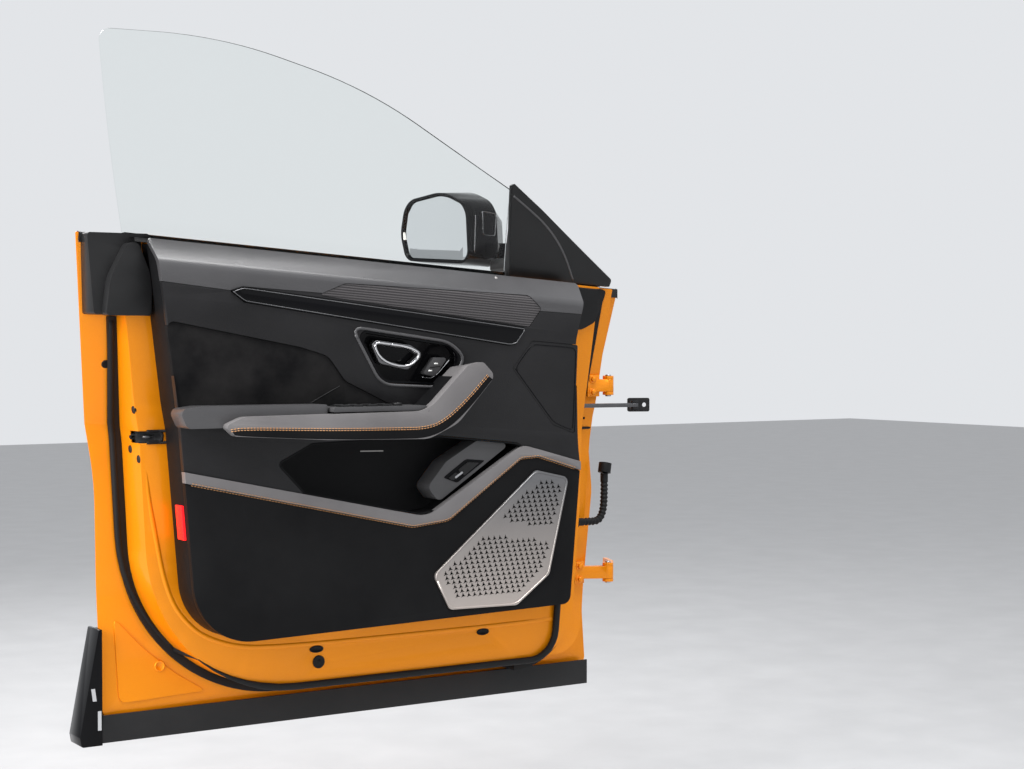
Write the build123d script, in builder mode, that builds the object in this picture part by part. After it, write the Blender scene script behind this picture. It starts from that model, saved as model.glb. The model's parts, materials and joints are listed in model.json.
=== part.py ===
"""Front left door of a large family car, standing open on its two hinges.

Row frame: +X runs from the latch end to the hinge end, +Y points out of the car
through the door and +Z is up. The origin is the middle of the lower hinge's
pillar bolts. Tables give door coordinates, measured from the hinge pin at the
height of the lower hinge, and the planes below carry them into the row frame.
"""
import math
import os

from build123d import *

# Hinges, in millimetres and degrees
OPEN_ANGLE = 68.0       # from shut to the full-open stop, the pose drawn here
HINGE_SPACING = 378.0
PIN_R = 6.0
PIN_CLEARANCE = 0.06
KNUCKLE_R = 11.0
ARM_HEIGHT = 25.0
LEAF_GAP = 0.5          # between the door leaf's knuckle and the pillar fork
FORK_T = 6.0
LEAF_FORWARD = 55.0     # pillar bolts ahead of the pin, along the car
LEAF_INBOARD = 18.0     # and inboard of it
LEAF_LENGTH = 54.0
LEAF_T = 8.0
BOLT_SPACING = 30.0
BOLT_HOLE_R = 4.5
DOOR_LEAF_HEIGHT = 44.0
DOOR_LEAF_T = 6.0
# Columns: height z and the pad's two ends x
DOOR_LEAVES = {"lower_door_leaf": (0.0, -66.5, -44.0), "upper_door_leaf": (HINGE_SPACING, -49.5, -21.0)}

# Door shell
BELT_SLOPE = 4.1        # the belt rises towards the latch end
SLOPE_X = -600.0        # door length at which the tables' heights hold
SKIN_T = 1.6
PANEL_T = 1.6
HEM_INSET = 1.0
CARD_T = 12.0
CARRIER_T = 3.0
SEAM = 0.8
SEAT = 0.3              # gap between pieces that are clipped or glued together
SEAL_H = 10.0
SEAL_W = 15.0
GLASS_T = 4.5
PAST_SKIN = -20.0       # depth outside the skin's face, where cuts from outside start
WALL_CUT = 12.0         # longer than the walls it goes through

# Check strap
STRAP_Z = HINGE_SPACING - 40.0
STRAP_PIN_INBOARD = 55.0
STRAP_H = 8.0
STRAP_W = 10.0
STRAP_PIN_R = 4.0
STRAP_TAIL = 36.0
STRAP_EYE_R = 8.0
MOUTH_Y = 1.0
MOUTH_W = 17.0
MOUTH_SLACK = 0.3
CHECKER_L = 34.0
CHECKER_W = 56.0
CHECKER_H = 30.0
CHECKER_WALL = 1.2
CHECKER_Y = 20.2        # its middle, outboard of the mouth
CHECKER_GAP = 0.9       # clear of the leaning wall
BRACKET_T = 4.0
BRACKET_H = 28.0
BRACKET_W = 46.0
BRACKET_AHEAD = 12.0
BRACKET_BOLT_INBOARD = 24.0

# Mirror
MIRROR_PIVOT = (-190.0, 100.0)
MIRROR_FOOT_Z = 606.0
MIRROR_FOOT_H = 26.0
MIRROR_FOOT_ROOT = (-200.0, -52.0)
MIRROR_FOOT_W = (96.0, 50.0)
MIRROR_FOOT_CHAMFER = 5.0
MIRROR_BASE_T = 14.0
MIRROR_PIN_R = 9.0
MIRROR_PIN_H = 18.0
MIRROR_GAP = 1.0
MIRROR_MIDDLE = (-272.0, 222.0)
MIRROR_TURN = 10.0      # degrees
MIRROR_RIM_W = 5.0
MIRROR_GLASS_T = 8.0
MIRROR_RECESS = 12.0
NECK_R = 22.0
NECK_H = 30.0
NECK_REACH = 64.0

# Surfaces across the door. Columns: depth y, height z, corner radius
SKIN = [(72, -300, 0), (94, 0, 500), (93, 290, 6), (-36, 655, 0), (-60, 723, 0)]
PAN = [(-4, -300, 0), (-4, 330, 200), (-50, 600, 0), (-90, 723, 0)]
STEP = [(30, -300, 0), (30, 340, 200), (-38, 600, 0), (-80, 723, 0)]
CARD = [(-75, -300, 0), (-75, 300, 300), (-110, 510, 80), (-115, 572, 20), (-70, 625, 0), (-20, 684, 0)]
CARRIER = CARD[:3] + [(-115, 604, 0)]

# Trim depths, measured from its face
BEZEL_DEPTH = 22.0
BEZEL_FLOOR = 19.0
BEZEL_WALL = 4.0
LEVER_SINK = 2.0
LEVER_W = 8.0
BUTTONS_SINK = 5.0
POCKET_DEPTH = 58.0
CONSOLE_SINK = 8.0
CARRIER_OPENING = 6.0   # narrower than the grille all round
CABIN = 60.0            # where cuts from the cabin side start

# Reach of pieces from the trim's face into the cabin
ARMREST_REACH = 48.0
GRIP_REACH = 68.0
GRIP_ROOT_REACH = 50.0
POD_REACH = 62.0

# Outlines on the door. Columns: x, z, corner radius
DOOR_EDGE = [(-1122, 652, 2), (-1049, 224, 600), (-1043, -197, 16), (0, -197, 14), (-2, -90, 150),
             (25, 160, 150), (2, 400, 150), (6, 571, 2)]
PAN_EDGE = [(-1058, 646, 4), (-1003, 300, 500), (-978, -162, 285), (-98, -168, 120), (-73, 140, 150),
            (-60, 574, 4)]
STEP_EDGE = [(-300, 591, 4), (-300, -160, 10), (-50, -162, 60), (-38, 110, 150), (-18, 340, 150),
             (-20, 571, 4)]
SERVICE_HOLE = [(-880, 380, 60), (-840, 20, 70), (-230, 10, 70), (-210, 400, 60)]
TRIM = [(-1019, 642, 6), (-1003, 560, 60), (-957, 317, 200), (-925, -60, 112), (-146, -44, 18),
        (-122, 225, 60), (-156, 470, 60), (-134, 580, 6)]
ABOVE_BELT_LINE = [(-1100, 579, 0), (-879, 555, 0), (-857, 562, 0), (-240, 525, 0), (-60, 515, 0),
                   (-60, 700, 0), (-1100, 750, 0)]
BELT_TOP = [(-1200, 645, 0), (100, 552, 0), (100, 800, 0), (-1200, 800, 0)]
TEXTURED = [(-712, 549, 2), (-660, 570, 30), (-268, 554, 20), (-240, 529, 4), (-265, 495, 4)]
GLOSS = [(-880, 554, 1), (-857, 561, 5), (-274, 493, 4), (-293, 462, 6), (-308, 460, 2), (-853, 535, 6)]
SUEDE = [(-994, 503, 10), (-742, 457, 90), (-686, 441, 40), (-648, 396, 30), (-560, 356, 60),
         (-470, 328, 4), (-956, 328, 10)]
FRONT_INSET = [(-295, 416, 4), (-257, 468, 8), (-150, 460, 4), (-138, 288, 4), (-191, 307, 8)]
BEZEL = [(-638, 490, 12), (-437, 463, 25), (-404, 434, 22), (-449, 386, 18), (-572, 393, 40)]
LEVER = [(-606, 472, 10), (-519, 461, 14), (-488, 444, 10), (-520, 414, 12), (-580, 427, 14)]
BUTTONS = [(-466, 438, 4), (-437, 437, 4), (-460, 403, 4), (-486, 407, 4)]
POCKET = [(-776, 252, 8), (-706, 286, 8), (-441, 292, 10), (-272, 274, 8), (-256, 267, 4), (-440, 152, 20),
          (-485, 147, 20), (-538, 157, 10), (-722, 196, 8)]
BAND = [(-960, 246, 0), (-538, 157, 60), (-470, 143, 60), (-258, 269, 30), (-215, 258, 30), (-90, 224, 0),
        (-90, 206, 0), (-222, 246, 30), (-262, 244, 30), (-424, 134, 50), (-500, 126, 60), (-960, 227, 0)]
BELOW_BAND = [(-960, 226, 0), (-500, 125, 60), (-424, 133, 50), (-262, 243, 30), (-222, 245, 30),
              (-90, 205, 0), (-90, -120, 0), (-960, -120, 0)]
CONSOLE = [(-463, 197, 12), (-424, 242, 16), (-356, 280, 20), (-280, 272, 6), (-440, 168, 12)]
GRILLE = [(-457, 33, 12), (-228, 220, 10), (-151, 203, 14), (-197, 17, 16), (-272, -37, 16), (-422, -34, 12)]
# Its two perforated fields. Columns: x, z, clockwise
GRILLE_FIELDS = [[(-216.7, 206.1), (-160.4, 192.1), (-188.6, 104.2), (-319.7, 126.8)],
                 [(-348.9, 105.6), (-188.6, 82.8), (-216.6, 24.6), (-265.1, -14.3), (-410.9, -18.3),
                  (-439.2, 32.4)]]
GRILLE_T = 3.0
GRILLE_STAND = 3.0      # proud of the card
HOLE_R = 3.4
HOLE_PITCH = 12.6
ROW_PITCH = 8.6
ROW_SHIFT = 2.6
HOLE_MARGIN = 3.0       # from a field's edge to a hole's middle
PAD = [(-981, 353, 10), (-941, 358, 30), (-704, 357, 6), (-704, 320, 6), (-965, 320, 12)]
GRIP = [(-906, 324, 6), (-872, 339, 40), (-512, 342, 60), (-436, 424, 16), (-404, 430, 10), (-375, 404, 14),
        (-446, 318, 60), (-505, 291, 60), (-710, 295, 200), (-885, 306, 10)]
GRIP_ROOT = [(-703, 336, 4), (-512, 340, 50), (-432, 420, 12), (-404, 424, 8), (-382, 402, 10),
             (-448, 322, 50), (-505, 296, 50), (-703, 299, 4)]
SWITCH_POD = [(-699, 352, 3), (-512, 352, 3), (-509, 343, 2), (-699, 343, 2)]
GLASS_EDGE = [(-1144, 967, 14), (-940, 970, 1000), (-648, 907, 1200), (-306, 752, 4), (-268, 548, 12),
              (-1014, 548, 12)]
BELT_SLOT = [(-1046, 800, 0), (-1046, 535, 8), (-258, 535, 8), (-258, 800, 0)]
BELT_SLOT_REACH = (-12, 13)
SAIL_REACH = 11.0       # from the glass's inner face
SAIL = [(-313, 765, 3), (-232, 717, 200), (-32, 589, 8), (-34, 575.4, 2), (-268, 592.2, 3)]
MIRROR_BASE = [(-288, 741, 6), (-232, 704, 200), (-48, 590, 8), (-48, 575.3, 2), (-266, 591.0, 3)]
CORNER = [(-1114, 650, 4), (-1094, 514, 6), (-984, 511, 3), (-1006, 650, 6)]
DOME = [(-1050, 634, 14), (-1077, 575, 80), (-1081, 511.5, 6), (-1001, 511.5, 6), (-1004, 575, 80),
        (-1032, 634, 14)]
CORNER_REACH = 3.4      # from the pan's face
DOME_REACH = 26.0
DOME_ROOT = 2.0
HANDLE_CUP = [(-962, 268, 40), (-835, 262, 40), (-842, 178, 40), (-955, 184, 40)]
HANDLE_CUP_Y = (50, 200)
BELT_SEAL_DEPTH = 12.0
BELT_SEAL = [(-1042, 636, 2), (-1042, 653, 2), (-272, 600, 2), (-272, 583, 2)]
# Where the door seal stops at the belt and changes from the hem to the step
BELOW_CORNER = [(-1200, -300, 0), (100, -300, 0), (100, 556, 0), (-900, 511, 0), (-1200, 511, 0)]
HINGE_SIDE = [(-215, -400, 0), (100, -400, 0), (100, 700, 0), (-215, 700, 0)]
BELOW_STEP = [(-215, -400, 0), (100, -400, 0), (100, -163.5, 0), (-215, -163.5, 0)]

# Mirror head, seen from the glass. Columns: outboard from its middle, height z, corner radius
MIRROR_RIM = [(-102, 622, 26), (-94, 742, 46), (-20, 772, 120), (98, 758, 44), (114, 690, 60), (96, 634, 30)]
# Columns: distance ahead of the rim, growth of the rim's outline
MIRROR_SECTIONS = [(0, 0), (75, 5), (128, -36)]

# Glass barrel. Columns: depth y, height z, for three points on one arc
GLASS = [(-7, 540), (-98.5, 760), (-238, 1000)]

# Lower cladding's section. Columns: y, z
CLADDING = [(84, -36), (97, -36), (111, -66), (115, -130), (107, -222), (98, -236), (64, -236), (64, -187),
            (67, -187), (67, -233), (96.5, -233), (104, -221), (112, -130), (108, -67),
            (96, -39.5), (84, -39.5)]
CLADDING_X = (-1047.0, -6.0)
CLADDING_ROOM = 10.0    # depth from the skin's face that it leaves free
END_CAP = [(-1047.3, -36, 0.5), (-1053, -36, 2), (-1088, -222, 4), (-1085, -239, 4), (-1047.3, -239, 0.5)]
END_CAP_Y = (62.0, 116.0)
END_CAVITY = [(-1047, -44, 0), (-1053, -46, 2), (-1084.5, -222, 2), (-1082.5, -236, 2), (-1047, -236, 0)]
END_CAVITY_Y = (65.0, 113.0)

# Drain holes in the pan below the trim. Columns: x, z, length, height
DRAIN_HOLES = [(-662, -96, 26, 11), (-658, -120, 13, 12.9), (-302, -95, 26, 11)]

# Latch
LATCH_Z = 302.0
LATCH_H = 80.0
LATCH_MOUTH_H = 21.0
LATCH_MOUTH_Y = 34.0
LATCH_X = (-996.0, -952.0)
LATCH_Y = (-1.5, 44.0)
LATCH_MOUTH_X = -962.0

# Outer handle
HANDLE_BAR_X = (-1002.0, -790.0)
HANDLE_BAR_Z = 226.0
HANDLE_BAR_H = 34.0
HANDLE_BAR_T = 15.0
HANDLE_GAP = 24.0
HANDLE_FOOT = 30.0
CUP_DEPTH = 26.0
CUP_T = 2.0
CUP_LIP = 3.0

# Warning lamp on the trim's rear edge
LAMP_Z = (125.0, 185.0)
LAMP_Y = (-58.0, -32.0)
LAMP_REACH = 4.0        # beyond the trim's edge

# Wiring boot between door and pillar. Columns: x, y, z
LOOM_ROUTE = [(-74.8, 7, 104), (-20, 5, 104), (2, 16, 200)]
LOOM_R = 8.0
LOOM_BEND_R = 24.0
PLUG_R = 13.0
PLUG_H = 20.0

LENGTH_RUN = 1400.0     # longer than the door
THROUGH = 900.0         # deeper than the door

# Hinge pin in the row frame, worked out from the pillar bolts and the open angle
OPEN = math.radians(OPEN_ANGLE)
FORWARD = Vector(math.cos(OPEN), math.sin(OPEN), 0)
OUTBOARD = Vector(-math.sin(OPEN), math.cos(OPEN), 0)
PIN = -LEAF_FORWARD * FORWARD + LEAF_INBOARD * OUTBOARD
RISE = math.tan(math.radians(BELT_SLOPE))
HEM = SKIN_T + PANEL_T + SEAT   # depth below the skin's face at which pieces sit on the hem
BELT_AXIS = Vector(math.cos(math.radians(BELT_SLOPE)), 0, -math.sin(math.radians(BELT_SLOPE)))
FRONT_X = 80.0          # where the sections are drawn, ahead of the door


def at(x, y, z):
    """A point of the door in the row frame."""
    return Vector(PIN.X + x, PIN.Y + y, z)


FACE = Plane(at(0, THROUGH / 2, 0), x_dir=(1, 0, 0), z_dir=(0, -1, 0))
SECTION = Plane(at(FRONT_X, 0, -(FRONT_X - SLOPE_X) * RISE), x_dir=(0, 1, 0), z_dir=BELT_AXIS)
CAR_PLAN = Plane(at(0, 0, 0), x_dir=FORWARD, z_dir=(0, 0, 1))


def between(line_a, move_a, line_b, move_b):
    """Section between two surface lines, each moved inboard by its own amount."""
    with BuildSketch(SECTION) as area:
        with BuildLine():
            sides = []
            for line, move in ((line_a, move_a), (line_b, move_b)):
                points = [(y - move, z) for y, z, _ in line]
                sides.append(FilletPolyline(*points, radius=[r for _, _, r in line[1:-1]]))
            Line(sides[0] @ 0, sides[1] @ 0)
            Line(sides[0] @ 1, sides[1] @ 1)
        make_face()
    return area.sketch


def layer(line, near, far):
    """Section of a layer that follows one surface line."""
    return between(line, near, line, far)


def outline(points, grow=0.0):
    """Outline on the door's face, grown or shrunk all round."""
    with BuildSketch(FACE) as area:
        with BuildLine():
            FilletPolyline(*[(x, z) for x, z, _ in points], radius=[r for _, _, r in points], close=True)
        make_face()
        if grow:
            offset(amount=grow, kind=Kind.INTERSECTION)
    return area.sketch


def plate(points, y_near, y_far):
    """Straight block of an outline between two depths."""
    with BuildPart() as block:
        with BuildSketch(Plane(at(0, y_far, 0), x_dir=(1, 0, 0), z_dir=(0, -1, 0))):
            with BuildLine():
                FilletPolyline(*[(x, z) for x, z, _ in points], radius=[r for _, _, r in points], close=True)
            make_face()
        extrude(amount=y_far - y_near)
    return block.part


def glass_layer(near, far):
    """Section of a layer that follows the window's barrel."""
    with BuildSketch(SECTION) as area:
        with BuildLine():
            arcs = [ThreePointArc(*[(y - move, z) for y, z in GLASS]) for move in (near, far)]
            Line(arcs[0] @ 0, arcs[1] @ 0)
            Line(arcs[0] @ 1, arcs[1] @ 1)
        make_face()
    return area.sketch


def shell_core(grow, reach):
    """The inner panel's outer form, grown or shrunk, out to a depth below the skin's face."""
    with BuildPart() as core:
        extrude(between(PAN, grow, SKIN, reach), amount=-LENGTH_RUN)
        extrude(outline(PAN_EDGE, grow), amount=THROUGH, mode=Mode.INTERSECT)
    with BuildPart() as step:
        extrude(between(STEP, grow, SKIN, reach), amount=-LENGTH_RUN)
        extrude(outline(STEP_EDGE, grow), amount=THROUGH, mode=Mode.INTERSECT)
    return core.part + step.part


def depth_at(line, x, z):
    """Depth of a surface at a point of the door's face, straight between the table's rows."""
    height = z + (x - SLOPE_X) * RISE
    for (y_0, z_0, _), (y_1, z_1, _) in zip(line, line[1:]):
        if z_0 <= height <= z_1:
            return y_0 + (y_1 - y_0) * (height - z_0) / (z_1 - z_0)


def side_at(start, finish, z):
    """Door length at which an outline's side stands at a height."""
    return start[0] + (finish[0] - start[0]) * (z - start[1]) / (finish[1] - start[1])


parts = {}


def keep(builder, name):
    """Label a finished piece and list it for export."""
    builder.part.label = name
    parts[name] = builder.part


# Shell
with BuildPart() as outer_skin:
    extrude(layer(SKIN, 0, SKIN_T), amount=-LENGTH_RUN)
    extrude(outline(DOOR_EDGE), amount=THROUGH, mode=Mode.INTERSECT)
    add(plate(HANDLE_CUP, *HANDLE_CUP_Y), mode=Mode.SUBTRACT)
keep(outer_skin, "outer_skin")

core = shell_core(0, SKIN_T + PANEL_T / 2)
void = shell_core(-PANEL_T, PAST_SKIN)
mouth_low = LATCH_Z - LATCH_MOUTH_H / 2
mouth_high = LATCH_Z + LATCH_MOUTH_H / 2
LATCH_MOUTH = [(-1030, mouth_low, 0), (LATCH_MOUTH_X, mouth_low, 6), (LATCH_MOUTH_X, mouth_high, 6),
               (-1030, mouth_high, 0)]
MOUTH_X = side_at(PAN_EDGE[4], PAN_EDGE[5], STRAP_Z) - PANEL_T / 2
with BuildPart() as inner_panel:
    extrude(layer(SKIN, SKIN_T, SKIN_T + PANEL_T), amount=-LENGTH_RUN)
    extrude(outline(DOOR_EDGE, -HEM_INSET), amount=THROUGH, mode=Mode.INTERSECT)
    add(core)
    add(void, mode=Mode.SUBTRACT)
    extrude(outline(SERVICE_HOLE), amount=THROUGH, mode=Mode.SUBTRACT)
    add(plate(LATCH_MOUTH, -40, LATCH_MOUTH_Y), mode=Mode.SUBTRACT)
    with Locations(at(MOUTH_X, MOUTH_Y, STRAP_Z)):
        Box(WALL_CUT, MOUTH_W, STRAP_H + 2 * MOUTH_SLACK, mode=Mode.SUBTRACT)
    with BuildSketch(FACE):
        for x, z, length, height in DRAIN_HOLES:
            with Locations((x, z)):
                SlotOverall(length, height)
    extrude(amount=THROUGH, mode=Mode.SUBTRACT)
with BuildPart() as belt_slot:
    extrude(glass_layer(*BELT_SLOT_REACH), amount=-LENGTH_RUN)
    extrude(outline(BELT_SLOT), amount=THROUGH, mode=Mode.INTERSECT)
with BuildPart() as slotted_panel:
    add(inner_panel.part)
    add(belt_slot.part, mode=Mode.SUBTRACT)
keep(slotted_panel, "inner_panel")

# Trim: one carrier with cards clipped to it, seams between the cards
with BuildPart() as trim_carrier:
    extrude(between(CARRIER, -CARD_T - SEAT, PAN, SEAT), amount=-LENGTH_RUN)
    extrude(outline(TRIM, -SEAM), amount=THROUGH, mode=Mode.INTERSECT)
    extrude(outline(BELT_TOP), amount=THROUGH, mode=Mode.SUBTRACT)
    extrude(layer(CARD, CABIN, -CARD_T - SEAT), amount=-LENGTH_RUN, mode=Mode.SUBTRACT)
with BuildPart() as carrier_void:
    extrude(between(CARRIER, -CARD_T - SEAT - CARRIER_T, PAN, 2 * PAST_SKIN), amount=-LENGTH_RUN)
    extrude(outline(TRIM, -SEAM - CARRIER_T), amount=THROUGH, mode=Mode.INTERSECT)
    extrude(outline(BELT_TOP, CARRIER_T), amount=THROUGH, mode=Mode.SUBTRACT)
    extrude(layer(CARD, CABIN, -CARD_T - SEAT - CARRIER_T), amount=-LENGTH_RUN, mode=Mode.SUBTRACT)
with BuildPart() as carrier:
    add(trim_carrier.part)
    add(carrier_void.part, mode=Mode.SUBTRACT)
    extrude(outline(POCKET, SEAT), amount=THROUGH, mode=Mode.SUBTRACT)
    extrude(outline(BEZEL, SEAT), amount=THROUGH, mode=Mode.SUBTRACT)
    extrude(outline(GRILLE, -CARRIER_OPENING), amount=THROUGH, mode=Mode.SUBTRACT)
keep(carrier, "trim_carrier")

with BuildPart() as belt_roll:
    extrude(layer(CARD, 0, -CARD_T), amount=-LENGTH_RUN)
    extrude(outline(TRIM), amount=THROUGH, mode=Mode.INTERSECT)
    extrude(outline(ABOVE_BELT_LINE), amount=THROUGH, mode=Mode.INTERSECT)
    extrude(outline(TEXTURED, SEAM), amount=THROUGH, mode=Mode.SUBTRACT)
    extrude(outline(GLOSS, SEAM), amount=THROUGH, mode=Mode.SUBTRACT)
keep(belt_roll, "belt_roll")

for name, edge, near in (("gloss_strip", GLOSS, 3), ("textured_insert", TEXTURED, -1),
                         ("suede_panel", SUEDE, -2), ("front_inset", FRONT_INSET, -1)):
    with BuildPart() as card:
        extrude(layer(CARD, near, -CARD_T), amount=-LENGTH_RUN)
        extrude(outline(edge), amount=THROUGH, mode=Mode.INTERSECT)
    keep(card, name)

with BuildPart() as mid_card:
    extrude(layer(CARD, 0, -CARD_T), amount=-LENGTH_RUN)
    extrude(outline(TRIM), amount=THROUGH, mode=Mode.INTERSECT)
    extrude(outline(ABOVE_BELT_LINE, SEAM), amount=THROUGH, mode=Mode.SUBTRACT)
    for edge in (TEXTURED, GLOSS, SUEDE, FRONT_INSET, BEZEL, POCKET, BAND):
        extrude(outline(edge, SEAM), amount=THROUGH, mode=Mode.SUBTRACT)
    extrude(outline(BELOW_BAND, SEAM), amount=THROUGH, mode=Mode.SUBTRACT)
keep(mid_card, "mid_card")

with BuildPart() as pocket_band:
    extrude(layer(CARD, 3, -CARD_T), amount=-LENGTH_RUN)
    extrude(outline(TRIM), amount=THROUGH, mode=Mode.INTERSECT)
    extrude(outline(BAND), amount=THROUGH, mode=Mode.INTERSECT)
keep(pocket_band, "pocket_band")

with BuildPart() as lower_card:
    extrude(layer(CARD, 0, -CARD_T), amount=-LENGTH_RUN)
    extrude(outline(TRIM), amount=THROUGH, mode=Mode.INTERSECT)
    extrude(outline(BELOW_BAND), amount=THROUGH, mode=Mode.INTERSECT)
    extrude(outline(BAND, SEAM), amount=THROUGH, mode=Mode.SUBTRACT)
    extrude(outline(GRILLE, SEAM), amount=THROUGH, mode=Mode.SUBTRACT)
keep(lower_card, "lower_card")

# Speaker grille: a pressed cover with a rim, and two fields of three-sided holes in slanting rows
def holes_in(field):
    """Places of the holes whose middles lie well inside a convex field."""
    high = max(z for _, z in field)
    low = min(z for _, z in field)
    left = min(x for x, _ in field)
    right = max(x for x, _ in field)
    places = []
    for row in range(int((high - low) / ROW_PITCH) + 1):
        for column in range(-1, int((right - left) / HOLE_PITCH) + 1):
            x = left + column * HOLE_PITCH + (row * ROW_SHIFT) % HOLE_PITCH
            z = high - HOLE_MARGIN - row * ROW_PITCH
            insets = []
            for (x_0, z_0), (x_1, z_1) in zip(field, field[1:] + field[:1]):
                run, rise = x_1 - x_0, z_1 - z_0
                insets.append(((x - x_0) * rise - (z - z_0) * run) / math.hypot(run, rise))
            if min(insets) > HOLE_MARGIN:
                places.append((x, z))
    return places


with BuildPart() as grille_hollow:
    extrude(layer(CARD, GRILLE_STAND - GRILLE_T, -CARD_T - 1), amount=-LENGTH_RUN)
    extrude(outline(GRILLE, -GRILLE_T), amount=THROUGH, mode=Mode.INTERSECT)
with BuildPart() as speaker_grille:
    extrude(layer(CARD, GRILLE_STAND, -CARD_T), amount=-LENGTH_RUN)
    extrude(outline(GRILLE), amount=THROUGH, mode=Mode.INTERSECT)
    add(grille_hollow.part, mode=Mode.SUBTRACT)
    with BuildSketch(FACE):
        with Locations(*[place for field in GRILLE_FIELDS for place in holes_in(field)]):
            RegularPolygon(HOLE_R, 3, rotation=-90)
    extrude(amount=THROUGH, mode=Mode.SUBTRACT)
keep(speaker_grille, "speaker_grille")

with BuildPart() as bezel_block:
    extrude(layer(CARD, 0, -BEZEL_DEPTH), amount=-LENGTH_RUN)
    extrude(outline(BEZEL), amount=THROUGH, mode=Mode.INTERSECT)
with BuildPart() as bezel_hollow:
    extrude(layer(CARD, CABIN, -BEZEL_FLOOR), amount=-LENGTH_RUN)
    extrude(outline(BEZEL, -BEZEL_WALL), amount=THROUGH, mode=Mode.INTERSECT)
with BuildPart() as handle_bezel:
    add(bezel_block.part)
    add(bezel_hollow.part, mode=Mode.SUBTRACT)
keep(handle_bezel, "handle_bezel")

with BuildPart() as handle_lever:
    extrude(layer(CARD, -LEVER_SINK, -BEZEL_FLOOR + SEAT), amount=-LENGTH_RUN)
    extrude(outline(LEVER), amount=THROUGH, mode=Mode.INTERSECT)
    extrude(outline(LEVER, -LEVER_W), amount=THROUGH, mode=Mode.SUBTRACT)
keep(handle_lever, "handle_lever")

with BuildPart() as lock_buttons:
    extrude(layer(CARD, -BUTTONS_SINK, -BEZEL_FLOOR + SEAT), amount=-LENGTH_RUN)
    extrude(outline(BUTTONS), amount=THROUGH, mode=Mode.INTERSECT)
keep(lock_buttons, "lock_buttons")

# Pocket: a tub behind the band, open towards the cabin
with BuildPart() as pocket_block:
    extrude(layer(CARD, 0, -POCKET_DEPTH), amount=-LENGTH_RUN)
    extrude(outline(POCKET), amount=THROUGH, mode=Mode.INTERSECT)
with BuildPart() as pocket_hollow:
    extrude(layer(CARD, CABIN, CARRIER_T - POCKET_DEPTH), amount=-LENGTH_RUN)
    extrude(outline(POCKET, -CARRIER_T), amount=THROUGH, mode=Mode.INTERSECT)
    extrude(outline(CONSOLE, SEAT), amount=THROUGH, mode=Mode.SUBTRACT)
with BuildPart() as band_room:
    extrude(layer(CARD, CABIN, -CARD_T - SEAT), amount=-LENGTH_RUN)
    extrude(outline(BAND, SEAM), amount=THROUGH, mode=Mode.INTERSECT)
with BuildPart() as pocket_liner:
    add(pocket_block.part)
    add(pocket_hollow.part, mode=Mode.SUBTRACT)
    add(band_room.part, mode=Mode.SUBTRACT)
    extrude(outline(CONSOLE, SEAT), amount=THROUGH, mode=Mode.SUBTRACT)
keep(pocket_liner, "pocket_liner")

with BuildPart() as switch_console:
    extrude(layer(CARD, -CONSOLE_SINK, CARRIER_T - POCKET_DEPTH), amount=-LENGTH_RUN)
    extrude(outline(CONSOLE), amount=THROUGH, mode=Mode.INTERSECT)
    extrude(outline(POCKET, -SEAT), amount=THROUGH, mode=Mode.INTERSECT)
keep(switch_console, "switch_console")

# Armrest
with BuildPart() as armrest_pad:
    extrude(layer(CARD, ARMREST_REACH, SEAT), amount=-LENGTH_RUN)
    extrude(outline(PAD), amount=THROUGH, mode=Mode.INTERSECT)
keep(armrest_pad, "armrest_pad")

with BuildPart() as grip_bar:
    extrude(layer(CARD, GRIP_REACH, ARMREST_REACH + SEAT), amount=-LENGTH_RUN)
    extrude(outline(GRIP), amount=THROUGH, mode=Mode.INTERSECT)
with BuildPart() as grip_root:
    extrude(layer(CARD, GRIP_ROOT_REACH, SEAT), amount=-LENGTH_RUN)
    extrude(outline(GRIP_ROOT), amount=THROUGH, mode=Mode.INTERSECT)
with BuildPart() as armrest_grip:
    add(grip_bar.part)
    add(grip_root.part)
keep(armrest_grip, "armrest_grip")

with BuildPart() as window_switch_pod:
    extrude(layer(CARD, POD_REACH, SEAT), amount=-LENGTH_RUN)
    extrude(outline(SWITCH_POD), amount=THROUGH, mode=Mode.INTERSECT)
    extrude(outline(GRIP, SEAM), amount=THROUGH, mode=Mode.SUBTRACT)
keep(window_switch_pod, "window_switch_pod")

# Glass, sail and mirror foot
with BuildPart() as window_glass:
    extrude(glass_layer(0, GLASS_T), amount=-LENGTH_RUN)
    extrude(outline(GLASS_EDGE), amount=THROUGH, mode=Mode.INTERSECT)
keep(window_glass, "window_glass")

with BuildPart() as sail_panel:
    extrude(glass_layer(GLASS_T + SEAT, GLASS_T + SAIL_REACH), amount=-LENGTH_RUN)
    extrude(outline(SAIL), amount=THROUGH, mode=Mode.INTERSECT)
keep(sail_panel, "sail_panel")

with BuildPart() as glass_room:
    extrude(glass_layer(-SEAT, GLASS_T + 2 * SEAT), amount=-LENGTH_RUN)
    extrude(outline(GLASS_EDGE, SEAT), amount=THROUGH, mode=Mode.INTERSECT)
with BuildPart() as mirror_base:
    extrude(glass_layer(-MIRROR_BASE_T, GLASS_T), amount=-LENGTH_RUN)
    extrude(outline(MIRROR_BASE), amount=THROUGH, mode=Mode.INTERSECT)
    add(glass_room.part, mode=Mode.SUBTRACT)
keep(mirror_base, "mirror_base")

# Belt seal between skin and glass
with BuildPart() as belt_seal:
    extrude(layer(SKIN, HEM, BELT_SEAL_DEPTH), amount=-LENGTH_RUN)
    extrude(outline(BELT_SEAL), amount=THROUGH, mode=Mode.INTERSECT)
keep(belt_seal, "belt_seal")

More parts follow.
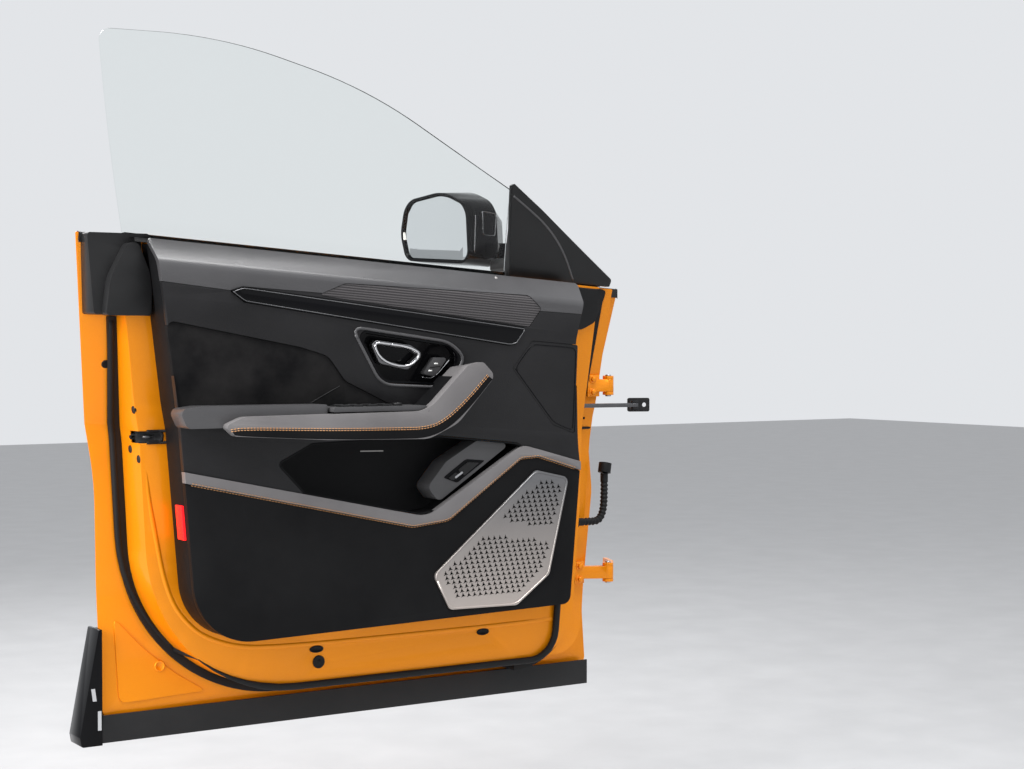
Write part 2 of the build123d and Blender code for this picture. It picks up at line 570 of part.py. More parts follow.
# Cladding
with BuildPart() as skin_room:
    extrude(layer(SKIN, -SEAT, CLADDING_ROOM), amount=-LENGTH_RUN)
    extrude(outline(DOOR_EDGE, SEAT), amount=THROUGH, mode=Mode.INTERSECT)
with BuildPart() as lower_cladding:
    with BuildSketch(Plane(at(CLADDING_X[0], 0, 0), x_dir=(0, 1, 0), z_dir=(1, 0, 0))):
        with BuildLine():
            Polyline(*CLADDING, close=True)
        make_face()
    extrude(amount=CLADDING_X[1] - CLADDING_X[0])
    add(skin_room.part, mode=Mode.SUBTRACT)
keep(lower_cladding, "lower_cladding")

with BuildPart() as cladding_end_cap:
    add(plate(END_CAP, *END_CAP_Y))
    add(plate(END_CAVITY, *END_CAVITY_Y), mode=Mode.SUBTRACT)
keep(cladding_end_cap, "cladding_end_cap")

# Latch in the end wall
with BuildPart() as latch:
    low, high = LATCH_Z - LATCH_H / 2, LATCH_Z + LATCH_H / 2
    add(plate([(LATCH_X[0], low, 2), (LATCH_X[1], low, 6), (LATCH_X[1], high, 6), (LATCH_X[0], high, 2)],
              *LATCH_Y))
    add(plate(LATCH_MOUTH, -40, LATCH_MOUTH_Y - 4), mode=Mode.SUBTRACT)
keep(latch, "latch")

# Door seal: along the hem at the latch and below, and up the step at the hinges
with BuildPart() as seal_ring:
    extrude(outline(PAN_EDGE, SEAL_W), amount=THROUGH)
    extrude(outline(PAN_EDGE, SEAT), amount=THROUGH, mode=Mode.SUBTRACT)
    extrude(outline(BELOW_CORNER), amount=THROUGH, mode=Mode.INTERSECT)
with BuildPart() as seal_hem:
    extrude(layer(SKIN, HEM, HEM + SEAL_H), amount=-LENGTH_RUN)
    add(seal_ring.part, mode=Mode.INTERSECT)
    extrude(outline(HINGE_SIDE), amount=THROUGH, mode=Mode.SUBTRACT)
with BuildPart() as seal_post:
    extrude(between(STEP, SEAT, SKIN, HEM), amount=-LENGTH_RUN)
    add(seal_ring.part, mode=Mode.INTERSECT)
    extrude(outline(BELOW_STEP), amount=THROUGH, mode=Mode.INTERSECT)
with BuildPart() as seal_step:
    extrude(layer(STEP, SEAT, SEAT + SEAL_H), amount=-LENGTH_RUN)
    add(seal_ring.part, mode=Mode.INTERSECT)
    extrude(outline(HINGE_SIDE), amount=THROUGH, mode=Mode.INTERSECT)
with BuildPart() as door_seal:
    add(seal_step.part)
    add(seal_post.part)
    add(seal_hem.part)
keep(door_seal, "door_seal")

# Corner cover at the belt
with BuildPart() as corner_block:
    extrude(between(PAN, CORNER_REACH, SKIN, HEM), amount=-LENGTH_RUN)
    extrude(outline(CORNER), amount=THROUGH, mode=Mode.INTERSECT)
with BuildPart() as corner_dome:
    extrude(between(PAN, DOME_REACH, PAN, DOME_ROOT), amount=-LENGTH_RUN)
    extrude(outline(DOME), amount=THROUGH, mode=Mode.INTERSECT)
with BuildPart() as corner_cover:
    add(corner_block.part)
    add(corner_dome.part)
    add(shell_core(SEAT, PAST_SKIN), mode=Mode.SUBTRACT)
    add(belt_slot.part, mode=Mode.SUBTRACT)
    extrude(outline(TRIM, SEAM), amount=THROUGH, mode=Mode.SUBTRACT)
keep(corner_cover, "corner_cover")

# Outer handle and its cup
with BuildPart() as cup_block:
    extrude(layer(SKIN, SKIN_T + SEAT, CUP_DEPTH), amount=-LENGTH_RUN)
    extrude(outline(HANDLE_CUP, CUP_LIP), amount=THROUGH, mode=Mode.INTERSECT)
with BuildPart() as cup_hollow:
    extrude(layer(SKIN, PAST_SKIN, CUP_DEPTH - CUP_T), amount=-LENGTH_RUN)
    extrude(outline(HANDLE_CUP, -1), amount=THROUGH, mode=Mode.INTERSECT)
with BuildPart() as handle_cup:
    add(cup_block.part)
    add(cup_hollow.part, mode=Mode.SUBTRACT)
keep(handle_cup, "handle_cup")

with BuildPart() as outer_handle:
    inner = depth_at(SKIN, HANDLE_BAR_X[0], HANDLE_BAR_Z - HANDLE_BAR_H / 2) + SEAT
    crest = inner + HANDLE_GAP
    tip = crest + HANDLE_BAR_T
    x_0, x_1 = HANDLE_BAR_X
    with BuildSketch(Plane(at(0, 0, HANDLE_BAR_Z), x_dir=(1, 0, 0), z_dir=(0, 0, 1))):
        with BuildLine():
            FilletPolyline((x_0, inner), (x_0, tip - 5), (x_0 + 60, tip), (x_1 - 60, tip), (x_1, tip - 5),
                           (x_1, inner), (x_1 - HANDLE_FOOT, inner), (x_1 - HANDLE_FOOT - 14, crest),
                           (x_0 + HANDLE_FOOT + 14, crest), (x_0 + HANDLE_FOOT, inner),
                           radius=[0.5, 12, 60, 60, 12, 0.5, 4, 14, 14, 4], close=True)
        make_face()
    extrude(amount=HANDLE_BAR_H / 2, both=True)
keep(outer_handle, "outer_handle")

# Door leaves of the hinges: a pad on the step, and an arm to the knuckle
step_room = shell_core(SEAT, PAST_SKIN)
for name, (height, pad_0, pad_1) in DOOR_LEAVES.items():
    face = depth_at(STEP, pad_0, height)
    with BuildPart() as leaf:
        with BuildSketch(Plane(at(0, 0, height), x_dir=(1, 0, 0), z_dir=(0, 0, 1))):
            Circle(KNUCKLE_R)
            with BuildLine():
                Polyline((pad_0, face), (pad_0, face - DOOR_LEAF_T), (0, -KNUCKLE_R), (KNUCKLE_R * 0.8, 5),
                         (pad_1, face), close=True)
            make_face()
        extrude(amount=ARM_HEIGHT / 2, both=True)
        with Locations(at((pad_0 + pad_1) / 2, face - DOOR_LEAF_T / 2, height)):
            Box(pad_1 - pad_0, 2 * DOOR_LEAF_T, DOOR_LEAF_HEIGHT)
        add(step_room, mode=Mode.SUBTRACT)
        with Locations(at(0, 0, height)):
            Cylinder(PIN_R + PIN_CLEARANCE, 2 * ARM_HEIGHT, mode=Mode.SUBTRACT)
    keep(leaf, name)

# Pillar leaves: a fork round the door leaf's knuckle, the pin, and a bolted plate
FORK_Z = ARM_HEIGHT / 2 + LEAF_GAP
for name, height in (("lower_pillar_leaf", 0.0), ("upper_pillar_leaf", HINGE_SPACING)):
    with BuildPart() as leaf:
        for side in (FORK_Z, -FORK_Z - FORK_T):
            with BuildSketch(CAR_PLAN.offset(height + side)):
                Circle(KNUCKLE_R)
                with BuildLine():
                    Polyline((0, -KNUCKLE_R), (LEAF_FORWARD - LEAF_LENGTH / 2 + 6, -LEAF_INBOARD),
                             (LEAF_FORWARD - LEAF_LENGTH / 2 + 6, -LEAF_INBOARD + LEAF_T), (0, KNUCKLE_R),
                             close=True)
                make_face()
            extrude(amount=FORK_T)
        with BuildSketch(CAR_PLAN.offset(height - FORK_Z - FORK_T)):
            with Locations((LEAF_FORWARD, -LEAF_INBOARD + LEAF_T / 2)):
                Rectangle(LEAF_LENGTH, LEAF_T)
        extrude(amount=2 * (FORK_Z + FORK_T))
        with BuildSketch(CAR_PLAN.offset(height - FORK_Z)):
            Circle(PIN_R)
        extrude(amount=2 * FORK_Z)
        with BuildSketch(Plane(at(0, 0, height) - LEAF_INBOARD * OUTBOARD, x_dir=FORWARD, z_dir=OUTBOARD)):
            with Locations((LEAF_FORWARD - BOLT_SPACING / 2, 0), (LEAF_FORWARD + BOLT_SPACING / 2, 0)):
                Circle(BOLT_HOLE_R)
        extrude(amount=LEAF_T, mode=Mode.SUBTRACT)
    keep(leaf, name)

# Check strap and its pillar bracket
STRAP_PIN = at(0, 0, STRAP_Z) - STRAP_PIN_INBOARD * OUTBOARD
MOUTH = at(MOUTH_X, MOUTH_Y, STRAP_Z)
STRAP_DIR = (MOUTH - STRAP_PIN).normalized()
STRAP_LEN = (MOUTH - STRAP_PIN).length + STRAP_TAIL
with BuildPart() as check_strap:
    with BuildSketch(Plane(STRAP_PIN - Vector(0, 0, STRAP_H / 2), x_dir=STRAP_DIR, z_dir=(0, 0, 1))):
        Circle(STRAP_EYE_R)
        with Locations((STRAP_LEN / 2, 0)):
            Rectangle(STRAP_LEN, STRAP_W)
        Circle(STRAP_PIN_R + PIN_CLEARANCE, mode=Mode.SUBTRACT)
    extrude(amount=STRAP_H)
keep(check_strap, "check_strap")

with BuildPart() as check_bracket:
    for side in (STRAP_H / 2 + LEAF_GAP, -STRAP_H / 2 - LEAF_GAP - BRACKET_T):
        with BuildSketch(Plane(STRAP_PIN + Vector(0, 0, side), x_dir=FORWARD, z_dir=(0, 0, 1))):
            Circle(STRAP_EYE_R)
            with Locations(((BRACKET_AHEAD + BRACKET_T) / 2, 0)):
                Rectangle(BRACKET_AHEAD + BRACKET_T, 2 * STRAP_EYE_R)
        extrude(amount=BRACKET_T)
    pin_foot = STRAP_PIN - Vector(0, 0, STRAP_H / 2 + LEAF_GAP)
    with BuildSketch(Plane(pin_foot, x_dir=FORWARD, z_dir=(0, 0, 1))):
        Circle(STRAP_PIN_R)
    extrude(amount=STRAP_H + 2 * LEAF_GAP)
    with BuildSketch(Plane(STRAP_PIN + BRACKET_AHEAD * FORWARD, x_dir=OUTBOARD, z_dir=FORWARD)):
        with Locations((-BRACKET_BOLT_INBOARD / 2, 0)):
            RectangleRounded(BRACKET_W, BRACKET_H, 4)
        with Locations((-BRACKET_BOLT_INBOARD, 0)):
            Circle(BOLT_HOLE_R, mode=Mode.SUBTRACT)
    extrude(amount=BRACKET_T)
keep(check_bracket, "check_bracket")

# Checker behind the mouth, in the door
with BuildPart() as checker_box:
    with Locations(at(MOUTH_X - PANEL_T / 2 - CHECKER_GAP - CHECKER_L / 2, MOUTH_Y + CHECKER_Y, STRAP_Z)):
        Box(CHECKER_L, CHECKER_W, CHECKER_H)
        Box(CHECKER_L, CHECKER_W - 2 * CHECKER_WALL, STRAP_H + 2 * MOUTH_SLACK, mode=Mode.SUBTRACT)
keep(checker_box, "checker_box")

# Wiring boot and its plug
with BuildPart() as loom_boot:
    with BuildLine() as route:
        FilletPolyline(*[at(*p) for p in LOOM_ROUTE], radius=LOOM_BEND_R)
    with BuildSketch(Plane(at(*LOOM_ROUTE[0]), z_dir=at(*LOOM_ROUTE[1]) - at(*LOOM_ROUTE[0]))):
        Circle(LOOM_R)
    sweep(path=route.wire())
keep(loom_boot, "loom_boot")

end = at(*LOOM_ROUTE[-1])
run = (end - at(*LOOM_ROUTE[-2])).normalized()
with BuildPart() as loom_plug:
    with BuildSketch(Plane(end + SEAT * run, z_dir=run)):
        Circle(PLUG_R)
    extrude(amount=PLUG_H)
keep(loom_plug, "loom_plug")

# Mirror: a foot on the sail's base, and the folding head
pivot = at(MIRROR_PIVOT[0], MIRROR_PIVOT[1], 0)
foot_top = MIRROR_FOOT_Z + MIRROR_FOOT_H
with BuildPart() as mirror_foot:
    with BuildSketch(Plane(at(0, 0, MIRROR_FOOT_Z), x_dir=(1, 0, 0), z_dir=(0, 0, 1))):
        (x_0, y_0), (x_1, y_1) = MIRROR_FOOT_ROOT, MIRROR_PIVOT
        root, tip = MIRROR_FOOT_W[0] / 2, MIRROR_FOOT_W[1] / 2
        with BuildLine():
            Polyline((x_0 - root, y_0), (x_1 - tip, y_1), (x_1 + tip, y_1), (x_0 + root, y_0), close=True)
        make_face()
        with Locations(MIRROR_PIVOT):
            Circle(tip)
    extrude(amount=MIRROR_FOOT_H)
    chamfer(mirror_foot.faces().filter_by(Axis.Z).edges(), MIRROR_FOOT_CHAMFER)
    extrude(glass_layer(-MIRROR_BASE_T - SEAT, CABIN), amount=-LENGTH_RUN, mode=Mode.SUBTRACT)
    with Locations(pivot + Vector(0, 0, foot_top)):
        Cylinder(MIRROR_PIN_R, MIRROR_PIN_H, align=(Align.CENTER, Align.CENTER, Align.MIN))
keep(mirror_foot, "mirror_foot")

turn = math.radians(MIRROR_TURN)
MIRROR_FORWARD = Vector(math.cos(turn), math.sin(turn), 0)
MIRROR_OUT = Vector(-math.sin(turn), math.cos(turn), 0)
NECK_Z = foot_top + MIRROR_GAP


def mirror_outline(ahead, grow):
    """The mirror head's outline at a distance ahead of its rim."""
    middle = at(*MIRROR_MIDDLE, 0) + ahead * MIRROR_FORWARD
    with BuildSketch(Plane(middle, x_dir=MIRROR_OUT, z_dir=MIRROR_FORWARD)) as area:
        with BuildLine():
            FilletPolyline(*[(y, z) for y, z, _ in MIRROR_RIM], radius=[r for _, _, r in MIRROR_RIM],
                           close=True)
        make_face()
        if grow:
            offset(amount=grow)
    return area.sketch


with BuildPart() as mirror_housing:
    loft([mirror_outline(ahead, grow) for ahead, grow in MIRROR_SECTIONS], ruled=True)
    with Locations(pivot + Vector(0, 0, NECK_Z + NECK_H / 2)):
        Cylinder(NECK_R, NECK_H)
    with Locations(pivot + Vector(0, NECK_REACH / 2, NECK_Z + NECK_H / 2)):
        Box(2 * NECK_R, NECK_REACH, NECK_H)
    extrude(mirror_outline(-1, -MIRROR_RIM_W), amount=MIRROR_RECESS + 1, mode=Mode.SUBTRACT)
    with Locations(pivot + Vector(0, 0, foot_top)):
        Cylinder(MIRROR_PIN_R + PIN_CLEARANCE, MIRROR_PIN_H + MIRROR_GAP,
                 align=(Align.CENTER, Align.CENTER, Align.MIN), mode=Mode.SUBTRACT)
keep(mirror_housing, "mirror_housing")

with BuildPart() as mirror_glass:
    extrude(mirror_outline(MIRROR_RECESS - SEAT - MIRROR_GLASS_T, -MIRROR_RIM_W - 2), amount=MIRROR_GLASS_T)
keep(mirror_glass, "mirror_glass")

# Warning lamp on the trim's rear edge
with BuildPart() as edge_lamp:
    low, high = LAMP_Z
    edge_low, edge_high = side_at(TRIM[2], TRIM[3], low), side_at(TRIM[2], TRIM[3], high)
    add(plate([(edge_low + SEAM - SEAT, low, 1), (edge_high + SEAM - SEAT, high, 1),
               (edge_high - LAMP_REACH, high, 1), (edge_low - LAMP_REACH, low, 1)], *LAMP_Y))
keep(edge_lamp, "edge_lamp")

os.makedirs("parts", exist_ok=True)
for name, solid in parts.items():
    export_step(solid, "parts/" + name + ".step")
    print(name, len(solid.solids()), round(solid.volume / 1000, 1), solid.bounding_box().size)
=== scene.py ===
import json
import math

import bpy
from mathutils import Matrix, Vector
from mathutils.bvhtree import BVHTree


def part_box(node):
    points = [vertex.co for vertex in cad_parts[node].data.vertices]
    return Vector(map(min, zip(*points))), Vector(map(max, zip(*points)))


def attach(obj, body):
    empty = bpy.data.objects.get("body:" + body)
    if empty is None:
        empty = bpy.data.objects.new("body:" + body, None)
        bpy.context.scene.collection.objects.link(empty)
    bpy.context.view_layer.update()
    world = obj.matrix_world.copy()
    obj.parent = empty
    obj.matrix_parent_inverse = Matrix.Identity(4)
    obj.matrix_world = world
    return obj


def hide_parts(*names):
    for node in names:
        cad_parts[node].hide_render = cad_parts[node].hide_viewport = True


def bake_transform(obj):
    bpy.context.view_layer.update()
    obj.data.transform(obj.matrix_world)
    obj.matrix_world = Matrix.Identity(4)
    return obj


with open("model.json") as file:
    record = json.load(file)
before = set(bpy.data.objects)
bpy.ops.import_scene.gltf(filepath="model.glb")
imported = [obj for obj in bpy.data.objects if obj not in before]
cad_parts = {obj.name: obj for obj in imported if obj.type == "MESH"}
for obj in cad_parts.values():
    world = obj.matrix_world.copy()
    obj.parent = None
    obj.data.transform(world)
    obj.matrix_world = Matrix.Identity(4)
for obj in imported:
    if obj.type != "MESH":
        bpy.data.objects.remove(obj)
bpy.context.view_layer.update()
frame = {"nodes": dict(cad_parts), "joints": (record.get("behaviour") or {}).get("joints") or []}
nodes = frame["nodes"]

# Shell: the outer skin with the cup of its handle, and the inner panel hemmed inside it.
# They are pressed steel sheets, welded and hemmed together, then sprayed with an orange pearl
# under a clear coat.
MM = 0.001
WELD_REACH = 0.00002
SHARP_EDGE = math.radians(32)
PEARL = (0.86, 0.225, 0.0005)
PEARL_FLAKE = (1.0, 0.355, 0.002)
FLAKE_SCALE = 2600.0


def tune(node, settings):
    """A shader node with some of its inputs set by name."""
    for label, value in settings.items():
        node.inputs[label].default_value = value
    return node


def new_material(name):
    """A material with its node tree and its shader."""
    material = bpy.data.materials.new(name)
    material.use_nodes = True
    tree = material.node_tree
    return material, tree, tree.nodes["Principled BSDF"]


def two_colours(tree, first, second):
    """A mix of two colours, which other nodes drive."""
    tint = tree.nodes.new("ShaderNodeMix")
    tint.data_type = "RGBA"
    tint.name = "tint"
    return tune(tint, {"A": (*first, 1), "B": (*second, 1)})


def pearl_paint():
    """Gold flakes in orange, under a clear coat."""
    material, tree, shader = new_material("orange_pearl")
    coords = tree.nodes.new("ShaderNodeTexCoord")
    flakes = tune(tree.nodes.new("ShaderNodeTexVoronoi"), {"Scale": FLAKE_SCALE})
    tint = two_colours(tree, PEARL, PEARL_FLAKE)
    bump = tune(tree.nodes.new("ShaderNodeBump"), {"Strength": 0.05, "Distance": 0.0001})
    tune(shader, {"Metallic": 0.35, "Roughness": 0.38, "Specular IOR Level": 0.25, "Coat Weight": 0.35,
                  "Coat Roughness": 0.03})
    link = tree.links.new
    link(coords.outputs["Object"], flakes.inputs["Vector"])
    link(flakes.outputs["Distance"], tint.inputs["Factor"])
    link(tint.outputs["Result"], shader.inputs["Base Color"])
    link(flakes.outputs["Distance"], bump.inputs["Height"])
    link(bump.outputs["Normal"], shader.inputs["Normal"])
    return material


def bevel(piece, width, segments=3):
    """Rounded edges on a piece whose faces may still be unjoined triangles."""
    weld = piece.modifiers.new("weld", "WELD")
    weld.merge_threshold = WELD_REACH
    edge = piece.modifiers.new("bevel", "BEVEL")
    edge.width = width * MM
    edge.segments = segments
    edge.limit_method = "ANGLE"
    edge.angle_limit = SHARP_EDGE
    edge.harden_normals = True
    edge.use_clamp_overlap = True
    for polygon in piece.data.polygons:
        polygon.use_smooth = True


def dress(finish, **edges):
    """Solid pieces get one finish, each with its own width of rounded edge in millimetres."""
    for name, width in edges.items():
        piece = nodes[name]
        piece.data.materials.clear()
        piece.data.materials.append(finish)
        bevel(piece, width)


PAINT = pearl_paint()
dress(PAINT, outer_skin=0.3, inner_panel=0.6, handle_cup=1.0)

# Outer handle: a moulded pull bar in the body's colour, on two feet bolted through the skin.
# Thin rubber seams close the joints of the bar. From here on, places are in millimetres from the
# hinge pin at the height of the lower hinge, and door() carries them into the frame.
PIN = Vector(next(joint for joint in frame["joints"] if joint["name"] == "door_swing")["pos_m"])
INWARD = Vector((0, -1, 0))
ALONG = Vector((1, 0, 0))
UP = Vector((0, 0, 1))
CAST_FROM = 400
CAST_SHIFTS = (0, 1.6, -1.6, 4, -4)
PARALLEL = 1e-4
HANDLE_SEAM_X = (-964, -828)
HANDLE_SEAM_END = 3
HANDLE_SEAM_STEPS = 6
HANDLE_SEAM_R = 0.7
trees = {}


def door(x, y, z):
    """A point of the door in the frame, in metres."""
    return Vector((PIN.x + x * MM, PIN.y + y * MM, z * MM))


def hit(names, start, direction):
    """Point and outward direction where a line first meets some solid pieces."""
    best = None
    for name in names:
        if name not in trees:
            mesh = nodes[name].data
            trees[name] = BVHTree.FromPolygons([v.co for v in mesh.vertices],
                                               [p.vertices for p in mesh.polygons])
        point, normal, _, distance = trees[name].ray_cast(start, direction)
        if point is not None and (best is None or distance < best[2]):
            best = (point, normal, distance)
    if best is None:
        return None, None
    point, normal, _ = best
    return point, (-normal if normal.dot(direction) > 0 else normal)


def seat(names, x, z, lift=0.0, away=1):
    """Point and outward direction at a place of the cabin side, or of the outer side with away -1."""
    for shift in CAST_SHIFTS:
        point, normal = hit(names, door(x, -CAST_FROM * away, z + shift), Vector((0, away, 0)))
        if point is not None:
            return point - UP * shift * MM + normal * lift * MM, normal
    raise ValueError(f"no surface at {x}, {z} on {names}")


def frame_of(direction, hint=UP):
    """Two directions square to one, for placing rings."""
    side = direction.cross(hint)
    if side.length < PARALLEL:
        side = direction.cross(ALONG)
    side.normalize()
    return side, side.cross(direction).normalized()


def ring_faces(rings, sides):
    """Faces between closed rings of points that follow one another."""
    faces = []
    for r in range(rings - 1):
        for i in range(sides):
            j = (i + 1) % sides
            faces.append((r * sides + i, r * sides + j, (r + 1) * sides + j, (r + 1) * sides + i))
    return faces


def capped_faces(rings, sides):
    """The same, with a cap on the first ring and on the last."""
    last = (rings - 1) * sides
    return ring_faces(rings, sides) + [tuple(range(sides))[::-1], tuple(last + i for i in range(sides))]


def tube(points, radii, sides=12, up=UP):
    """Tube along a chain in metres, with one radius in millimetres or one for each point."""
    if not isinstance(radii, (list, tuple)):
        radii = [radii] * len(points)
    verts = []
    for i, point in enumerate(points):
        ahead = (points[min(i + 1, len(points) - 1)] - points[max(i - 1, 0)]).normalized()
        a, b = frame_of(ahead, up)
        for k in range(sides):
            angle = 2 * math.pi * k / sides
            verts.append(point + (a * math.cos(angle) + b * math.sin(angle)) * radii[i] * MM)
    return verts, capped_faces(len(points), sides)


def mesh_object(name, verts, faces, material, slot, body="door", smooth=True):
    """A mesh that rides on a body and takes the finish it is given. Its slot is not used."""
    mesh = bpy.data.meshes.new(name)
    mesh.from_pydata([tuple(v) for v in verts], [], faces)
    mesh.update()
    for polygon in mesh.polygons:
        polygon.use_smooth = smooth
    piece = bpy.data.objects.new(name, mesh)
    bpy.context.scene.collection.objects.link(piece)
    mesh.materials.append(material)
    if body:
        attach(piece, body)
    return piece


def new_group(name, inputs, output, kind):
    """An empty shader group with its sockets."""
    group = bpy.data.node_groups.new(name, "ShaderNodeTree")
    for label, value in inputs.items():
        socket = group.interface.new_socket(label, in_out="INPUT", socket_type="NodeSocketFloat")
        socket.default_value = value
    group.interface.new_socket(output, in_out="OUTPUT", socket_type=kind)
    return group, group.nodes.new("NodeGroupInput"), group.nodes.new("NodeGroupOutput")


def grain_group():
    """Grain of leather or of a mould, as a normal that changes over the surface."""
    group, start, end = new_group("grain", {"Scale": 600.0, "Strength": 0.2}, "Normal", "NodeSocketVector")
    coords = group.nodes.new("ShaderNodeTexCoord")
    cells = group.nodes.new("ShaderNodeTexVoronoi")
    noise = tune(group.nodes.new("ShaderNodeTexNoise"), {"Detail": 4.0})
    total = group.nodes.new("ShaderNodeMath")
    total.operation = "ADD"
    bump = tune(group.nodes.new("ShaderNodeBump"), {"Distance": 0.0004})
    link = group.links.new
    for texture in (cells, noise):
        link(coords.outputs["Object"], texture.inputs["Vector"])
        link(start.outputs["Scale"], texture.inputs["Scale"])
    link(cells.outputs["Distance"], total.inputs[0])
    link(noise.outputs["Fac"], total.inputs[1])
    link(total.outputs[0], bump.inputs["Height"])
    link(start.outputs["Strength"], bump.inputs["Strength"])
    link(bump.outputs["Normal"], end.inputs["Normal"])
    return group


def wear_group():
    """Broad patches from 0 to 1, where dust lies or hands have polished a surface."""
    group, start, end = new_group("wear", {"Scale": 6.0}, "Mask", "NodeSocketFloat")
    coords = group.nodes.new("ShaderNodeTexCoord")
    noise = tune(group.nodes.new("ShaderNodeTexNoise"), {"Detail": 6.0, "Roughness": 0.6})
    spread = tune(group.nodes.new("ShaderNodeMapRange"), {"From Min": 0.35, "From Max": 0.7})
    link = group.links.new
    link(coords.outputs["Object"], noise.inputs["Vector"])
    link(start.outputs["Scale"], noise.inputs["Scale"])
    link(noise.outputs["Fac"], spread.inputs["Value"])
    link(spread.outputs["Result"], end.inputs["Mask"])
    return group


GRAIN = grain_group()
WEAR = wear_group()


def placed(tree, group, settings):
    """A shader group placed in a material, with its own values."""
    node = tree.nodes.new("ShaderNodeGroup")
    node.node_tree = group
    return tune(node, settings)


def surface(name, colour, worn, rough, rough_worn, metal=0.0, grain=600.0, strength=0.15, patches=6.0,
            shine=0.5):
    """A solid finish: two colours and two roughnesses mixed by wear, with grain."""
    material, tree, shader = new_material(name)
    grain_node = placed(tree, GRAIN, {"Scale": grain, "Strength": strength})
    wear_node = placed(tree, WEAR, {"Scale": patches})
    tint = two_colours(tree, colour, worn)
    gloss = tune(tree.nodes.new("ShaderNodeMapRange"), {"To Min": rough, "To Max": rough_worn})
    tune(shader, {"Metallic": metal, "Specular IOR Level": shine})
    link = tree.links.new
    link(wear_node.outputs["Mask"], tint.inputs["Factor"])
    link(wear_node.outputs["Mask"], gloss.inputs["Value"])
    link(tint.outputs["Result"], shader.inputs["Base Color"])
    link(gloss.outputs["Result"], shader.inputs["Roughness"])
    link(grain_node.outputs["Normal"], shader.inputs["Normal"])
    return material


RUBBER = surface("rubber", (0.005, 0.005, 0.0055), (0.012, 0.012, 0.0125), 0.55, 0.7, grain=1300.0,
                 strength=0.12, shine=0.25)
dress(PAINT, outer_handle=5.0)
handle_low, handle_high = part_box("outer_handle")
z_0, z_1 = handle_low.z / MM + HANDLE_SEAM_END, handle_high.z / MM - HANDLE_SEAM_END
for number, x in enumerate(HANDLE_SEAM_X):
    line = [seat(["outer_handle"], x, z_0 + (z_1 - z_0) * t / HANDLE_SEAM_STEPS, away=-1)[0]
            for t in range(HANDLE_SEAM_STEPS + 1)]
    mesh_object(f"handle_seam_{number + 1}", *tube(line, HANDLE_SEAM_R, sides=8), RUBBER, "body_paint")

# Pressings of the inner panel: the raised line round the trim, the drawn rear corner and its ring
# boss. They are struck in the one sheet and painted with it.
CURVE_ROUNDS = 2
CURVE_CUT = 0.25
ROUND_REACH = 0.45
PRESSED_LINE = [(-991, 245), (-986, 193), (-973, 123), (-961, 61), (-944, 11), (-922, -21), (-892, -49),
                (-850, -68), (-805, -80), (-737, -84), (-620, -86), (-442, -86), (-309, -86), (-127, -84)]
PRESSED_SINK = 5.2
PRESSED_RISE = 1.8
PRESSED_RUN_IN = 8
RING_BOSS = (-934.3, -113.1)
BOSS_ROWS = [(-1, 11), (4.6, 10), (5.4, 8.4), (4.4, 7.0), (3.4, 6.2), (3.4, 0.5)]
CORNER_PRESSING = [(-1018, -20), (-1012, -172), (-845, -166), (-905, -128), (-962, -80)]
CORNER_ROUND = 16
CORNER_RISE = 3.0
CORNER_SINK = 0.6
CORNER_BEVEL = 2.8


def smooth_chain(points):
    """Corners cut twice, so that a short list of points reads as a curve."""
    for _ in range(CURVE_ROUNDS):
        cut = [points[0]]
        for a, b in zip(points, points[1:]):
            cut += [a.lerp(b, CURVE_CUT), a.lerp(b, 1 - CURVE_CUT)]
        cut.append(points[-1])
        points = cut
    return points


def curve(route):
    """A route of places on the door's face, as a curve."""
    return smooth_chain([Vector((x, z, 0)) for x, z in route])


def trace(names, route, lift=0.0):
    """Points of solid pieces at each place of a route."""
    return [seat(names, place[0], place[1], lift)[0] for place in route]


def turned(start, direction, rows, sides=32):
    """A turned form. Rows: distance along and radius, in millimetres."""
    a, b = frame_of(direction)
    verts = []
    for run, radius in rows:
        for i in range(sides):
            angle = 2 * math.pi * i / sides
            across = (a * math.cos(angle) + b * math.sin(angle)) * radius
            verts.append(start + (direction * run + across) * MM)
    return verts, capped_faces(len(rows), sides)


def slab(outline, names, rise, sink=0.0):
    """Plate that lies on solid pieces: its outline, its height over them and its depth in them."""
    top, low = [], []
    for x, z in outline:
        point, normal = seat(names, x, z)
        top.append(point + normal * rise * MM)
        low.append(point - normal * sink * MM)
    count = len(outline)
    faces = [tuple(range(count))[::-1], tuple(count + i for i in range(count))]
    for i in range(count):
        j = (i + 1) % count
        faces.append((i, j, count + j, count + i))
    return top + low, faces


def rounded(points, radius, steps=5):
    """Outline with its corners rounded, as a list of points."""
    out = []
    count = len(points)
    for i in range(count):
        here = Vector(points[i])
        before, after = Vector(points[i - 1]) - here, Vector(points[(i + 1) % count]) - here
        reach = min(radius, before.length * ROUND_REACH, after.length * ROUND_REACH)
        a, b = here + before.normalized() * reach, here + after.normalized() * reach
        for k in range(steps + 1):
            t = k / steps
            out.append(tuple(a * (1 - t) ** 2 + here * 2 * t * (1 - t) + b * t ** 2))
    return out


chain = trace(["inner_panel"], curve(PRESSED_LINE), -PRESSED_SINK)
radii = [PRESSED_SINK + PRESSED_RISE * min(1, i / PRESSED_RUN_IN) for i in range(len(chain))]
mesh_object("pressed_line", *tube(chain, radii, up=INWARD), PAINT, "body_paint")
boss = turned(*seat(["inner_panel"], *RING_BOSS), BOSS_ROWS, sides=36)
mesh_object("ring_boss", *boss, PAINT, "body_paint")
pressing = slab(rounded(CORNER_PRESSING, CORNER_ROUND), ["inner_panel"], CORNER_RISE, CORNER_SINK)
corner_pressing = mesh_object("corner_pressing", *pressing, PAINT, "body_paint")
bevel(corner_pressing, CORNER_BEVEL)

